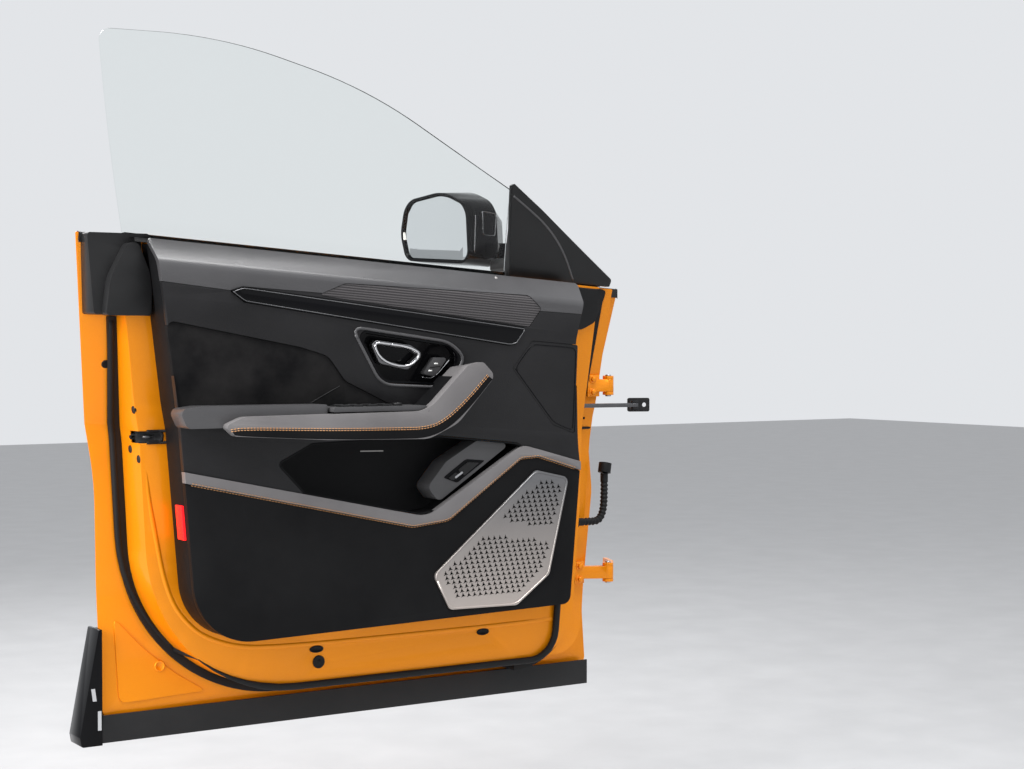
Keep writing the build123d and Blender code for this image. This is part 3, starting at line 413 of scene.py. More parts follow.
# Panel plugs: soft rubber plugs pressed into the two drain holes, the round hole below the trim
# and the hem. Each is moulded in one piece and lies on the sheet with its flange.
DRAIN_PLUGS = [(-663, -95.8), (-303, -95.2)]
DRAIN_LONG = 12
DRAIN_SHORT = 4.6
DRAIN_FLANGE = 2
DRAIN_BESIDE = 6
DRAIN_LIFTS = (0.0, -1.2, -1.8, -0.6)
DRAIN_SIDES = 28
ROUND_PLUG = (-658.7, -119.5)
ROUND_PLUG_R = 12
ROUND_ROWS = [(0, ROUND_PLUG_R), (1.4, ROUND_PLUG_R), (2.4, 10.4), (1.2, 9), (1.2, 3), (2.6, 2.4)]
HEM_PLUG = (-1042, 428.3)
HEM_ROWS = [(-1, 7.5), (0.9, 7.5), (1.4, 6), (0.8, 4.5)]


def joined(parts):
    """Several (verts, faces) pairs as one."""
    verts, faces = [], []
    for some_verts, some_faces in parts:
        base = len(verts)
        verts += some_verts
        faces += [tuple(base + i for i in face) for face in some_faces]
    return verts, faces


def oval(x, z, long, short):
    """Places of an oval on the door's face."""
    angles = [2 * math.pi * i / DRAIN_SIDES for i in range(DRAIN_SIDES)]
    return [(x + long * math.cos(t), z + short * math.sin(t)) for t in angles]


plugs = []
for x, z in DRAIN_PLUGS:
    inner = oval(x, z, DRAIN_LONG, DRAIN_SHORT)
    outer = oval(x, z, DRAIN_LONG + DRAIN_FLANGE, DRAIN_SHORT + DRAIN_FLANGE)
    level = seat(["inner_panel"], x, z + DRAIN_SHORT + DRAIN_BESIDE)[0].y
    verts = [Vector((PIN.x + a * MM, level + lift * MM, b * MM))
             for line, lift in zip((outer, outer, inner, inner), DRAIN_LIFTS) for a, b in line]
    last = len(verts) - DRAIN_SIDES
    faces = ring_faces(len(DRAIN_LIFTS), DRAIN_SIDES) + [tuple(last + i for i in range(DRAIN_SIDES))]
    plugs.append((verts, faces))
level = seat(["inner_panel"], ROUND_PLUG[0], ROUND_PLUG[1] + ROUND_PLUG_R)[0]
level.z = ROUND_PLUG[1] * MM
plugs.append(turned(level, INWARD, ROUND_ROWS))
plugs.append(turned(*seat(["inner_panel"], *HEM_PLUG), HEM_ROWS, sides=24))
mesh_object("panel_plugs", *joined(plugs), RUBBER, "seal_rubber")

# Latch: a steel claw in a mouth that wraps from the end wall onto the face, with a black moulded
# rim. Three blackened screws hold it through the end wall.
MOUTH_Z = (292.0, 312.0)
MOUTH_OUT_Y = 31.0
MOUTH_WALL_Y = (MOUTH_OUT_Y, 20, 8, 0)
MOUTH_IN_X = -963.0
MOUTH_ROUND = 4
MOUTH_FACE_X = (-994, -985, -975, MOUTH_IN_X - MOUTH_ROUND)
MOUTH_END_X = MOUTH_IN_X + 2
MOUTH_END_Z = (297.0, 302.0, 307.0)
MOUTH_RIM_R = 2.6
CLAW = (-983.0, 14.0, 302.0)
CLAW_BEND = 9
CLAW_SWEEP = range(-150, 95, 15)
CLAW_R = 3.4
CLAW_TIP = [2.6, 1.6]
LATCH_SCREWS = [(2.0, 349.5), (40.0, 279.7), (4.0, 264.0)]
LATCH_SCREW_R = 7.0
# Rows of a screw: distance along and share of its radius.
SCREW_HEAD = [(-2, 1), (0.8, 1), (1.8, 0.86), (2.2, 0.6)]
SCREW_SOCKET = [(2.0, 0.42), (2.3, 0.42), (2.3, 0.36)]
BEHIND_WALL_X = -1300


def end_wall(y, z):
    """Point and direction on the end wall at a depth and a height."""
    return hit(["inner_panel"], door(BEHIND_WALL_X, y, z), ALONG)


def mouth_edge(z):
    """Chain along one long edge of the mouth, from the end wall round onto the face."""
    return [end_wall(y, z)[0] for y in MOUTH_WALL_Y] + trace(["inner_panel"], [(x, z) for x in MOUTH_FACE_X])


def screw(start, direction):
    """Screw head with a dished top and a six-sided socket."""
    return joined([turned(start, direction, [(run, share * LATCH_SCREW_R) for run, share in rows], sides)
                   for rows, sides in ((SCREW_HEAD, 28), (SCREW_SOCKET, 6))])


STEEL = surface("dark_steel", (0.10, 0.10, 0.105), (0.16, 0.16, 0.165), 0.34, 0.46, metal=0.9, strength=0.1)
BLACK_PLASTIC = surface("satin_black", (0.008, 0.008, 0.0085), (0.015, 0.015, 0.0155), 0.36, 0.5,
                        grain=1200.0, strength=0.08, shine=0.32)
dress(STEEL, latch=1.0)
low_edge, high_edge = mouth_edge(MOUTH_Z[0]), mouth_edge(MOUTH_Z[1])
inner_end = trace(["inner_panel"], [(MOUTH_END_X, z) for z in MOUTH_END_Z])
outer_end = [end_wall(MOUTH_OUT_Y + MOUTH_ROUND, z)[0] for z in MOUTH_END_Z[::-1]]
ring = low_edge + inner_end + high_edge[::-1] + outer_end
ring = smooth_chain(ring + ring[:2])
mesh_object("latch_mouth_rim", *tube(ring, MOUTH_RIM_R, sides=10), RUBBER, "black_plastic")
claw_chain = [door(CLAW[0] + CLAW_BEND * math.cos(t), CLAW[1] + CLAW_BEND * math.sin(t), CLAW[2])
              for t in [math.radians(a) for a in CLAW_SWEEP]]
radii = [CLAW_R] * (len(claw_chain) - len(CLAW_TIP)) + CLAW_TIP
mesh_object("latch_claw", *tube(claw_chain, radii), STEEL, "latch_steel")
latch_screws = joined([screw(*end_wall(y, z)) for y, z in LATCH_SCREWS])
mesh_object("latch_screws", *latch_screws, BLACK_PLASTIC, "latch_steel")

# Door seal: an extruded rubber section pushed on along the panel's edge, with an outer lip that
# widens it along the hem. A moulded rubber block closes it below the sail.
SEAL_LINE = [(-1044, 506, 0), (-1018, 300, 500), (-993, -158, 300), (-140, -160, 60), (-112, 150, 0)]
SEAL_ARC_STEPS = 14
SEAL_LIP_R = 6.5
SEAL_LIP_SINK = 1
SEAL_STEP = 12
SEAL_JUMP = 20
SEAL_START = 0.15
SEAL_GROWTH = 0.07
FRONT_BLOCK = [(-131, 575), (-72, 571), (-38, 571), (-42, 545), (-62, 520), (-66, 506), (-98, 490),
               (-129, 494)]
FRONT_BLOCK_ROUND = 10
FRONT_BLOCK_RISE = 6.0
FRONT_BLOCK_SINK = 1.0
FRONT_BLOCK_BEVEL = 2.0


def filleted(rows):
    """Chain of points with true arcs at its corners. Rows: x, z, corner radius."""
    out = [Vector(rows[0][:2])]
    for before, here, after in zip(rows, rows[1:], rows[2:]):
        corner = Vector(here[:2])
        a, b = (Vector(before[:2]) - corner).normalized(), (Vector(after[:2]) - corner).normalized()
        half = a.angle(b) / 2
        middle = corner + (a + b).normalized() * here[2] / math.sin(half)
        start = corner + a * here[2] / math.tan(half) - middle
        end = corner + b * here[2] / math.tan(half) - middle
        turn = start.angle_signed(end)
        for k in range(SEAL_ARC_STEPS + 1):
            angle = -turn * k / SEAL_ARC_STEPS
            out.append(middle + Vector((start.x * math.cos(angle) - start.y * math.sin(angle),
                                        start.x * math.sin(angle) + start.y * math.cos(angle))))
    out.append(Vector(rows[-1][:2]))
    return out


def along(points, pitch):
    """Points evenly spaced along a chain, each with its direction."""
    out = []
    spare = 0.0
    for a, b in zip(points, points[1:]):
        run = (b - a).length
        step = (b - a).normalized()
        at = spare
        while at < run:
            out.append((a + step * at, step))
            at += pitch
        spare = at - run
    return out


dress(RUBBER, door_seal=3.0)
lip, radii = [], []
share = 1.0
for place, _ in along([place.to_3d() for place in filleted(SEAL_LINE)], SEAL_STEP):
    point, normal = seat(["inner_panel"], place.x, place.y)
    if lip and lip[-1].y - point.y > SEAL_JUMP * MM:
        share = SEAL_START
    radii.append(SEAL_LIP_R * share)
    lip.append(point + normal * (radii[-1] - SEAL_LIP_SINK) * MM)
    share = min(1.0, share + SEAL_GROWTH)
mesh_object("seal_lip", *tube(lip, radii, up=INWARD), RUBBER, "seal_rubber")
block = slab(rounded(FRONT_BLOCK, FRONT_BLOCK_ROUND), ["inner_panel"], FRONT_BLOCK_RISE, FRONT_BLOCK_SINK)
front_block = mesh_object("front_block", *block, RUBBER, "seal_rubber")
bevel(front_block, FRONT_BLOCK_BEVEL)

# Lower cladding: a moulded board in satin black, clipped along the foot of the skin.
# A gloss end cap closes its rear end and shows two bright clips.
CAP_STRIPS = [[(-1068, -138), (-1061, -138), (-1058, -160), (-1065, -160)],
              [(-1056, -178), (-1049.5, -178), (-1049.5, -212), (-1056, -212)]]
CAP_STRIP_RISE = 1.0
GLOSS = surface("piano_black", (0.003, 0.003, 0.0035), (0.004, 0.004, 0.005), 0.07, 0.12, strength=0.0,
                shine=0.14)
CHROME = surface("chrome", (0.72, 0.72, 0.73), (0.78, 0.78, 0.79), 0.08, 0.13, metal=1.0, strength=0.0)
dress(BLACK_PLASTIC, lower_cladding=1.0)
dress(GLOSS, cladding_end_cap=2.0)
strips = [slab(edge, ["cladding_end_cap", "lower_cladding"], CAP_STRIP_RISE) for edge in CAP_STRIPS]
mesh_object("cap_strips", *joined(strips), CHROME, "chrome", smooth=False)

# Window glass: a curved pane of tempered glass without a frame, which runs down into the door.
# A rubber lip closes its slot on the cabin side, and a black moulding is pressed on the skin's edge.
GLASS_TINT = (0.965, 0.98, 0.975, 1)
GLASS_IOR = 1.22
BELT_LINE = [(-1040, 643.5), (-1008, 641.2), (-850, 630.2), (-700, 619.6), (-550, 609.1), (-400, 598.6),
             (-286, 590.6)]
ROLL_START_X = -1004
ROLL_TOP_Z = 641
ROLL_BELOW = 5
PANE_ABOVE = 6
# Points of the lip's section: out from the roll or the pane, and over the belt line.
LIP_FROM_ROLL = ((6, -8), (9, -1))
LIP_FROM_PANE = ((-5, 0.5), (-1, 2), (-0.6, -8))
MOULDING = [(-1117, 651), (-1000, 642.5), (-800, 628.3), (-600, 613.8), (-400, 599.5), (-200, 585.2),
            (4, 570.6)]
MOULDING_BELOW = 2
MOULDING_H = 9.0
MOULDING_T = 2.2
MOULDING_W = 5.5
MOULDING_FOOT = 0.2
MOULDING_SHOULDER = 2.5
MOULDING_TOP = 4.0
MOULDING_LEG = 13
MOULDING_SIDES = 6
MOULDING_BEVEL = 0.8


def clear_glass():
    """Thin clear glass: it reflects at a slant and is otherwise clear, with a faint green."""
    material, tree, shader = new_material("clear_glass")
    tree.nodes.remove(shader)
    clear = tune(tree.nodes.new("ShaderNodeBsdfTransparent"), {"Color": GLASS_TINT})
    gloss = tune(tree.nodes.new("ShaderNodeBsdfGlossy"), {"Roughness": 0.01})
    slant = tune(tree.nodes.new("ShaderNodeFresnel"), {"IOR": GLASS_IOR})
    mix = tree.nodes.new("ShaderNodeMixShader")
    link = tree.links.new
    link(slant.outputs["Fac"], mix.inputs["Fac"])
    link(clear.outputs["BSDF"], mix.inputs[1])
    link(gloss.outputs["BSDF"], mix.inputs[2])
    link(mix.outputs["Shader"], tree.nodes["Material Output"].inputs["Surface"])
    return material


def strip_faces(rows, width):
    """Faces of an open strip of rows, each with the same number of points."""
    return [(i * width + k, i * width + k + 1, (i + 1) * width + k + 1, (i + 1) * width + k)
            for i in range(rows - 1) for k in range(width - 1)]


dress(clear_glass(), window_glass=1.0)
dress(RUBBER, belt_seal=1.5)
verts = []
for x, z in BELT_LINE:
    roll_y = seat(["belt_roll"], max(x, ROLL_START_X), min(z, ROLL_TOP_Z) - ROLL_BELOW)[0].y
    pane_y = seat(["window_glass"], x, z + PANE_ABOVE)[0].y
    section = [(roll_y + out * MM, rise) for out, rise in LIP_FROM_ROLL]
    section += [(pane_y + out * MM, rise) for out, rise in LIP_FROM_PANE]
    verts += [Vector((PIN.x + x * MM, y, (z + rise) * MM)) for y, rise in section]
mesh_object("belt_lip", verts, strip_faces(len(BELT_LINE), len(section)), RUBBER, "seal_rubber")
verts = []
for x, z in MOULDING:
    low, _ = seat(["outer_skin"], x, z - MOULDING_H, away=-1)
    edge, out = seat(["outer_skin"], x, z - MOULDING_BELOW, away=-1)
    back = -out * MOULDING_W * MM
    verts += [low + out * MOULDING_FOOT * MM, low + out * MOULDING_T * MM,
              edge + out * MOULDING_T * MM + UP * MOULDING_SHOULDER * MM, edge + UP * MOULDING_TOP * MM,
              edge + back + UP * MOULDING_TOP * MM, edge + back - UP * MOULDING_LEG * MM]
faces = ring_faces(len(MOULDING), MOULDING_SIDES)
faces += [tuple(range(MOULDING_SIDES)), tuple(range(len(verts) - 1, len(verts) - MOULDING_SIDES - 1, -1))]
moulding = mesh_object("belt_moulding", verts, faces, BLACK_PLASTIC, "black_plastic")
bevel(moulding, MOULDING_BEVEL, 2)

# Mirror: a black base screwed to the door, a foot, and a lacquered housing that folds on the foot
# and holds the silvered glass. Fine seams show its cap and a square cover, and a glowing pale patch on its
# rim is a painted highlight.
CAP_SEAM = [(-234.3, 720.8), (-238.1, 674.4), (-240.3, 646.2)]
CAP_SEAM_R = 1.0
SQUARE_COVER = [(-215.7, 729.8), (-181, 725.2), (-186.6, 680.2), (-217.4, 681.2)]
COVER_SEAM_R = 0.8
COVER_ROUND = 5
RIM_HIGHLIGHT = [(-289.5, 678), (-285, 678), (-284, 694), (-288.5, 694)]
RIM_HIGHLIGHT_RISE = 0.6


def lit(name, colour, strength):
    """A lens that gives a little light, or a mark that is given a painted glow."""
    material, _, shader = new_material(name)
    tune(shader, {"Base Color": (*colour, 1), "Emission Color": (*colour, 1), "Emission Strength": strength,
                  "Roughness": 0.15})
    return material


def groove(route, names, radius, lift):
    """A thin line along a route on solid pieces."""
    return tube(trace(names, curve(route), lift), radius, sides=8, up=INWARD)


def outline(corners, radius, steps):
    """A closed route round an outline with rounded corners."""
    return rounded(corners, radius, steps) + corners[:1]


MIRROR = surface("mirror_glass", (0.80, 0.82, 0.83), (0.82, 0.84, 0.85), 0.015, 0.03, metal=1.0,
                 strength=0.0)
SATIN = surface("satin_chrome", (0.16, 0.16, 0.165), (0.21, 0.21, 0.215), 0.24, 0.34, metal=0.9,
                strength=0.03)
# The pale marks glow: a painted glow, since they hold no lamp.
WHITE_PAINTED_GLOW = lit("white_painted_glow", (0.75, 0.75, 0.73), 0.35)
dress(BLACK_PLASTIC, mirror_base=1.0, mirror_foot=3.0)
dress(GLOSS, mirror_housing=3.0)
dress(MIRROR, mirror_glass=1.0)
seams = [groove(CAP_SEAM, ["mirror_housing"], CAP_SEAM_R, 0.0),
         groove(outline(SQUARE_COVER, COVER_ROUND, 2), ["mirror_housing"], COVER_SEAM_R, 0.0)]
mesh_object("mirror_seams", *joined(seams), SATIN, "gloss_black", body="mirror")
# A glowing pale patch on the housing's rim: a painted highlight.
rim_highlight = slab(RIM_HIGHLIGHT, ["mirror_housing"], RIM_HIGHLIGHT_RISE)
mesh_object("rim_highlight", *rim_highlight, WHITE_PAINTED_GLOW, "gloss_black", body="mirror", smooth=False)

# Trim carrier and cards: a moulded carrier clipped to the panel, with a grained lower card.
# The middle card and the front inset are wrapped in charcoal leather and glued on, and a gloss
# piping runs round the inset.
INSET_EDGE = [(-289, 416), (-255, 462), (-153, 454), (-142, 293), (-189, 311)]
INSET_ROUND = 12
INSET_PIPING_R = 0.9
INSET_PIPING_LIFT = 0.1
PLASTIC = surface("grained_plastic", (0.004, 0.004, 0.0045), (0.008, 0.008, 0.0085), 0.5, 0.62, grain=900.0,
                  shine=0.12)
LEATHER = surface("charcoal_leather", (0.0085, 0.0082, 0.009), (0.0135, 0.013, 0.014), 0.36, 0.5,
                  grain=520.0, strength=0.4, shine=0.3)
dress(PLASTIC, trim_carrier=1.0, lower_card=1.5)
dress(LEATHER, mid_card=2.0, front_inset=2.0)
piping = groove(outline(INSET_EDGE, INSET_ROUND, 3), ["front_inset", "mid_card"], INSET_PIPING_R,
                INSET_PIPING_LIFT)
mesh_object("inset_edge", *piping, GLOSS, "dark_leather")

# Suede panel: microfibre cloth laid over foam and glued to its own card.
# It is cut in two, and the short seam between the halves is sewn.
SUEDE_SEAM = [(-713, 358), (-684, 374), (-657, 388)]
SUEDE_SEAM_R = 0.8
SUEDE_SEAM_SINK = 0.1
SUEDE = surface("microfibre", (0.005, 0.005, 0.0055), (0.020, 0.019, 0.019), 0.9, 0.98, grain=2400.0,
                strength=0.5, patches=11.0, shine=0.1)
dress(SUEDE, suede_panel=2.0)
suede_seam = groove(SUEDE_SEAM, ["suede_panel"], SUEDE_SEAM_R, -SUEDE_SEAM_SINK)
mesh_object("suede_seam", *suede_seam, LEATHER, "suede")

# Belt roll: the padded top of the trim, smooth leather drawn tight over foam on a moulding.
# The alarm's small lamp is pressed into it near the sail.
ALARM_LAMP = (-325.4, 586.7)
ALARM_ROWS = [(-1, 3), (1.0, 3), (1.6, 2.2), (1.8, 1.0)]
# The belt leather is the dark leather made lighter: part of its lightness is painted light falling on the
# roll from above.
ROLL_LEATHER_PAINTED_LIGHT = surface("belt_leather_painted_light", (0.050, 0.049, 0.051), (0.064, 0.062, 0.065), 0.30, 0.40,
                       grain=520.0, strength=0.4, shine=0.8)
DIM = lit("dim_lamp", (0.30, 0.29, 0.28), 0.12)
dress(ROLL_LEATHER_PAINTED_LIGHT, belt_roll=4.0)
alarm_lamp = turned(*seat(["belt_roll"], *ALARM_LAMP), ALARM_ROWS, sides=20)
mesh_object("alarm_lamp", *alarm_lamp, DIM, "window_glass")

# Trim strips: a strip lacquered in piano black, with a thin satin line along its rounded edge as a painted
# highlight, and a moulded insert with fine raised lines. Both are clipped into the card from behind.
STRIP_EDGE = [(-877, 553), (-857, 559), (-276, 491), (-294, 464), (-308, 462), (-853, 537)]
STRIP_ROUND = 5
STRIP_EDGE_R = 0.8
STRIP_EDGE_LIFT = 0.2
RIB_SLOPE = (0, math.radians(4.1), 0)
RIB_STRETCH = (8, 1, 1)


def ribbed():
    """Dark trim with fine raised lines that run along the door, their crests coloured lighter as a painted
    sheen.
    """
    material = surface("ribbed_trim", (0.014, 0.012, 0.013), (0.085, 0.078, 0.080), 0.24, 0.34, patches=30.0)
    tree = material.node_tree
    coords = tree.nodes.new("ShaderNodeTexCoord")
    slope = tree.nodes.new("ShaderNodeMapping")
    slope.vector_type = "TEXTURE"
    tune(slope, {"Rotation": RIB_SLOPE, "Scale": RIB_STRETCH})
    waves = tune(tree.nodes.new("ShaderNodeTexWave"), {"Scale": 70.0, "Distortion": 2.0, "Detail": 3.0})
    waves.bands_direction = "Z"
    bump = tune(tree.nodes.new("ShaderNodeBump"), {"Distance": 0.0006, "Strength": 0.7})
    link = tree.links.new
    link(coords.outputs["Object"], slope.inputs["Vector"])
    link(slope.outputs["Vector"], waves.inputs["Vector"])
    # Painted sheen: the waves that raise the lines also make their crests lighter.
    link(waves.outputs["Fac"], tree.nodes["tint"].inputs["Factor"])
    link(waves.outputs["Fac"], bump.inputs["Height"])
    link(bump.outputs["Normal"], tree.nodes["Principled BSDF"].inputs["Normal"])
    return material


dress(GLOSS, gloss_strip=1.2)
dress(ribbed(), textured_insert=1.2)
# The satin line stands for the highlight on the strip's rounded edge: a painted highlight.
strip_edge_highlight = groove(outline(STRIP_EDGE, STRIP_ROUND, 2), ["gloss_strip"], STRIP_EDGE_R, STRIP_EDGE_LIFT)
mesh_object("strip_edge_highlight", *strip_edge_highlight, SATIN, "gloss_black")

# Sail and corner cover: moulded in satin black and clipped over the two ends of the belt.
# The sail's face is pressed in along a line that curves down to the belt; the line's lighter leather is a
# painted highlight.
SAIL_LINE = [(-303, 740), (-259.5, 716.1), (-218.3, 691.6), (-182.2, 662.6), (-151.7, 629.2),
             (-123.6, 587.4)]
SAIL_LINE_R = 2.2
SAIL_LINE_SINK = 0.8
dress(BLACK_PLASTIC, sail_panel=1.0, corner_cover=2.0)
# Painted highlight: the pressed line is coloured in the lighter leather.
sail_line_highlight = groove(SAIL_LINE, ["sail_panel"], SAIL_LINE_R, -SAIL_LINE_SINK)
mesh_object("sail_line_highlight", *sail_line_highlight, ROLL_LEATHER_PAINTED_LIGHT, "black_plastic")

# Pocket band: grey leather drawn over a padded moulding that runs along the pocket's edge.
# Two rows of orange thread hold down its join, one on each side.
BAND_NODES = ["pocket_band", "lower_card"]
BAND_STITCH = [(-936, 221.7), (-512, 128.6), (-500, 126), (-488, 127.3), (-438, 132.5), (-424, 134),
               (-411, 142.8), (-272, 237.2), (-262, 244), (-251, 244.6), (-230, 245.6), (-222, 246),
               (-214, 243.6), (-136, 220)]
STITCH_GAPS = (-1.8, 1.8)
STITCH_PITCH = 6.0
STITCH_LENGTH = 4.2
STITCH_R = 0.75
STITCH_TAPER = 0.6
STITCH_LIFTS = (0.1, 0.75, 0.1)


def stitches(route, names):
    """Two rows of small thread loops, one on each side of a route."""
    parts = []
    for gap in STITCH_GAPS:
        for place, ahead in along(curve(route), STITCH_PITCH):
            middle = place + Vector((-ahead.y, ahead.x, 0)) * gap
            ends = [middle - ahead * STITCH_LENGTH / 2, middle, middle + ahead * STITCH_LENGTH / 2]
            chain = [seat(names, end.x, end.y, lift)[0] for end, lift in zip(ends, STITCH_LIFTS)]
            radii = [STITCH_R * STITCH_TAPER, STITCH_R, STITCH_R * STITCH_TAPER]
            parts.append(tube(chain, radii, sides=6, up=INWARD))
    return joined(parts)


GREY_LEATHER = surface("grey_leather", (0.150, 0.142, 0.143), (0.185, 0.176, 0.176), 0.32, 0.44,
                       grain=520.0, strength=0.35)
THREAD = surface("orange_thread", (0.52, 0.24, 0.08), (0.62, 0.32, 0.14), 0.7, 0.8, grain=4000.0,
                 strength=0.3)
dress(GREY_LEATHER, pocket_band=3.0)
mesh_object("band_stitches", *stitches(BAND_STITCH, BAND_NODES), THREAD, "grey_leather")

# Armrest: a padded top in smooth leather, and a pull grip wrapped in grey leather and screwed to the
# carrier. Two rows of thread run beside the grip's seam, and a dark moulding closes it below them.
# A dark plate on the side of the grip's rising end is painted shade, where the grip's loop leaves a gap.
GRIP_STITCH = [(-893, 316.5), (-869, 319), (-707, 313), (-567, 311), (-513, 311), (-478, 322), (-435, 357),
               (-392, 405)]
GRIP_SEAM_R = 0.7
GRIP_SEAM_SINK = 0.2
# Columns of the dark face: the stitched edge's x and z, then the lower edge's.
GRIP_FACE = [(-893, 315, -889, 309.5), (-869, 317.5, -869, 306.8), (-707, 311.5, -707, 296.6),
             (-567, 309.5, -567, 294.1), (-513, 309.5, -508, 294), (-476, 320.5, -462, 312.4),
             (-433, 355.5, -419, 353.2), (-390, 403.5, -382, 398.5)]
# Rows of the dark face: share of its height and lift, then run past its edge and depth.
GRIP_FACE_SHARES = ((0.0, 0.1), (0.3, 0.7), (1.0, 0.7))
GRIP_FACE_TURN = ((1.6, 0.9), (2.4, 9.0))
# Painted shade: a thin dark plate on the grip's side, standing for the shaded gap behind its rising end.
RAIL_GAP_SHADE = [(-511, 341.2), (-449, 403.2)]
RAIL_GAP_SHADE_Y = (-151, -84)
RAIL_GAP_SHADE_LIFTS = (-1.0, 0.8)
RAIL_GAP_SHADE_OUT = Vector((-0.7071, 0, 0.7071))
RAIL_GAP_SHADE_FACES = [(0, 1, 3, 2), (4, 6, 7, 5), (0, 4, 5, 1), (2, 3, 7, 6), (1, 5, 7, 3), (0, 2, 6, 4)]
RAIL_GAP_SHADE_BEVEL = 0.6
dress(ROLL_LEATHER_PAINTED_LIGHT, armrest_pad=6.0)
dress(GREY_LEATHER, armrest_grip=8.0)
mesh_object("grip_stitches", *stitches(GRIP_STITCH, ["armrest_grip"]), THREAD, "grey_leather")
grip_seam = groove(GRIP_STITCH, ["armrest_grip"], GRIP_SEAM_R, -GRIP_SEAM_SINK)
mesh_object("grip_seam", *grip_seam, RUBBER, "grey_leather")
upper, lower = curve([row[:2] for row in GRIP_FACE]), curve([row[2:] for row in GRIP_FACE])
verts = []
for a, b in zip(upper, lower):
    for share, lift in GRIP_FACE_SHARES:
        place = a.lerp(b, share)
        verts.append(seat(["armrest_grip"], place.x, place.y, lift)[0])
    flat = verts[-1]
    outward = (b - a).normalized()
    for run, sink in GRIP_FACE_TURN:
        verts.append(Vector((PIN.x + (b.x + outward.x * run) * MM, flat.y + sink * MM,
                             (b.y + outward.y * run) * MM)))
faces = strip_faces(len(upper), len(GRIP_FACE_SHARES) + len(GRIP_FACE_TURN))
mesh_object("grip_face", verts, faces, PLASTIC, "dark_leather")
# The dark plate is painted shade for the gap behind the grip's rail.
verts = [door(x, y, z) + RAIL_GAP_SHADE_OUT * lift * MM for x, z in RAIL_GAP_SHADE for y in RAIL_GAP_SHADE_Y
         for lift in RAIL_GAP_SHADE_LIFTS]
rail_gap_shade = mesh_object("rail_gap_shade", verts, RAIL_GAP_SHADE_FACES, PLASTIC, "dark_leather", smooth=False)
bevel(rail_gap_shade, RAIL_GAP_SHADE_BEVEL, 2)

# Inner handle: a lacquered bezel clipped into the card, with a padded rim round it. The satin lever
# pivots in it behind a bright loop, beside two lock buttons with printed marks.
BEZEL_RIM = [(-644, 494), (-437, 466.5), (-399, 434), (-447, 382), (-575, 389)]
BEZEL_RIM_ROUND = 26
BEZEL_RIM_R = 3.2
BEZEL_RIM_SINK = 1.2
LEVER_LOOP = [(-560, 462.3), (-521, 457), (-494, 443.5), (-520, 418.5), (-576.5, 431), (-599, 467)]
LEVER_LOOP_R = 2.4
LEVER_LOOP_LIFT = 0.4
ACCENT = [(-424, 434), (-455, 398), (-480, 401.5)]
ACCENT_R = 1.8
ACCENT_LIFT = 0.6
LOCK_MARK_PLACES = [(-460.4, 426.5), (-471.5, 413.5)]
LOCK_MARK = [(-4, -1.2), (4, -1.2), (4, 1.2), (-4, 1.2)]
LOCK_MARK_RISE = 0.4
LOCK_SPLIT = [(-473, 419.5), (-462, 420.5), (-451, 421.5)]
LOCK_SPLIT_R = 0.8
LOCK_SPLIT_LIFT = 0.1
GREY_PLASTIC = surface("satin_grey", (0.055, 0.054, 0.056), (0.07, 0.069, 0.071), 0.35, 0.45, grain=1200.0,
                       strength=0.08)
dress(GLOSS, handle_bezel=1.0)
dress(SATIN, handle_lever=2.0)
dress(GREY_PLASTIC, lock_buttons=1.0)
# The padded rim is the card's own leather edge; its lighter leather is a painted highlight along it.
rim = trace(["mid_card"], rounded(BEZEL_RIM, BEZEL_RIM_ROUND), -BEZEL_RIM_SINK)
mesh_object("bezel_rim_highlight", *tube(rim + rim[:2], BEZEL_RIM_R, up=INWARD), ROLL_LEATHER_PAINTED_LIGHT, "dark_leather")
loop = trace(["handle_lever"], curve(LEVER_LOOP + LEVER_LOOP[:1]), LEVER_LOOP_LIFT)
mesh_object("lever_trim", *tube(loop, LEVER_LOOP_R, up=INWARD), CHROME, "chrome")
accent = smooth_chain(trace(["handle_bezel"], ACCENT, ACCENT_LIFT))
mesh_object("bezel_accent", *tube(accent, ACCENT_R, sides=8, up=INWARD), CHROME, "chrome")
# The printed marks are real; their glow is painted.
marks = [slab([(x + a, z + b) for a, b in LOCK_MARK], ["lock_buttons"], LOCK_MARK_RISE)
         for x, z in LOCK_MARK_PLACES]
mesh_object("lock_marks", *joined(marks), WHITE_PAINTED_GLOW, "gloss_black")
split = trace(["lock_buttons"], LOCK_SPLIT, LOCK_SPLIT_LIFT)
mesh_object("lock_split", *tube(split, LOCK_SPLIT_R, sides=8, up=INWARD), RUBBER, "gloss_black")

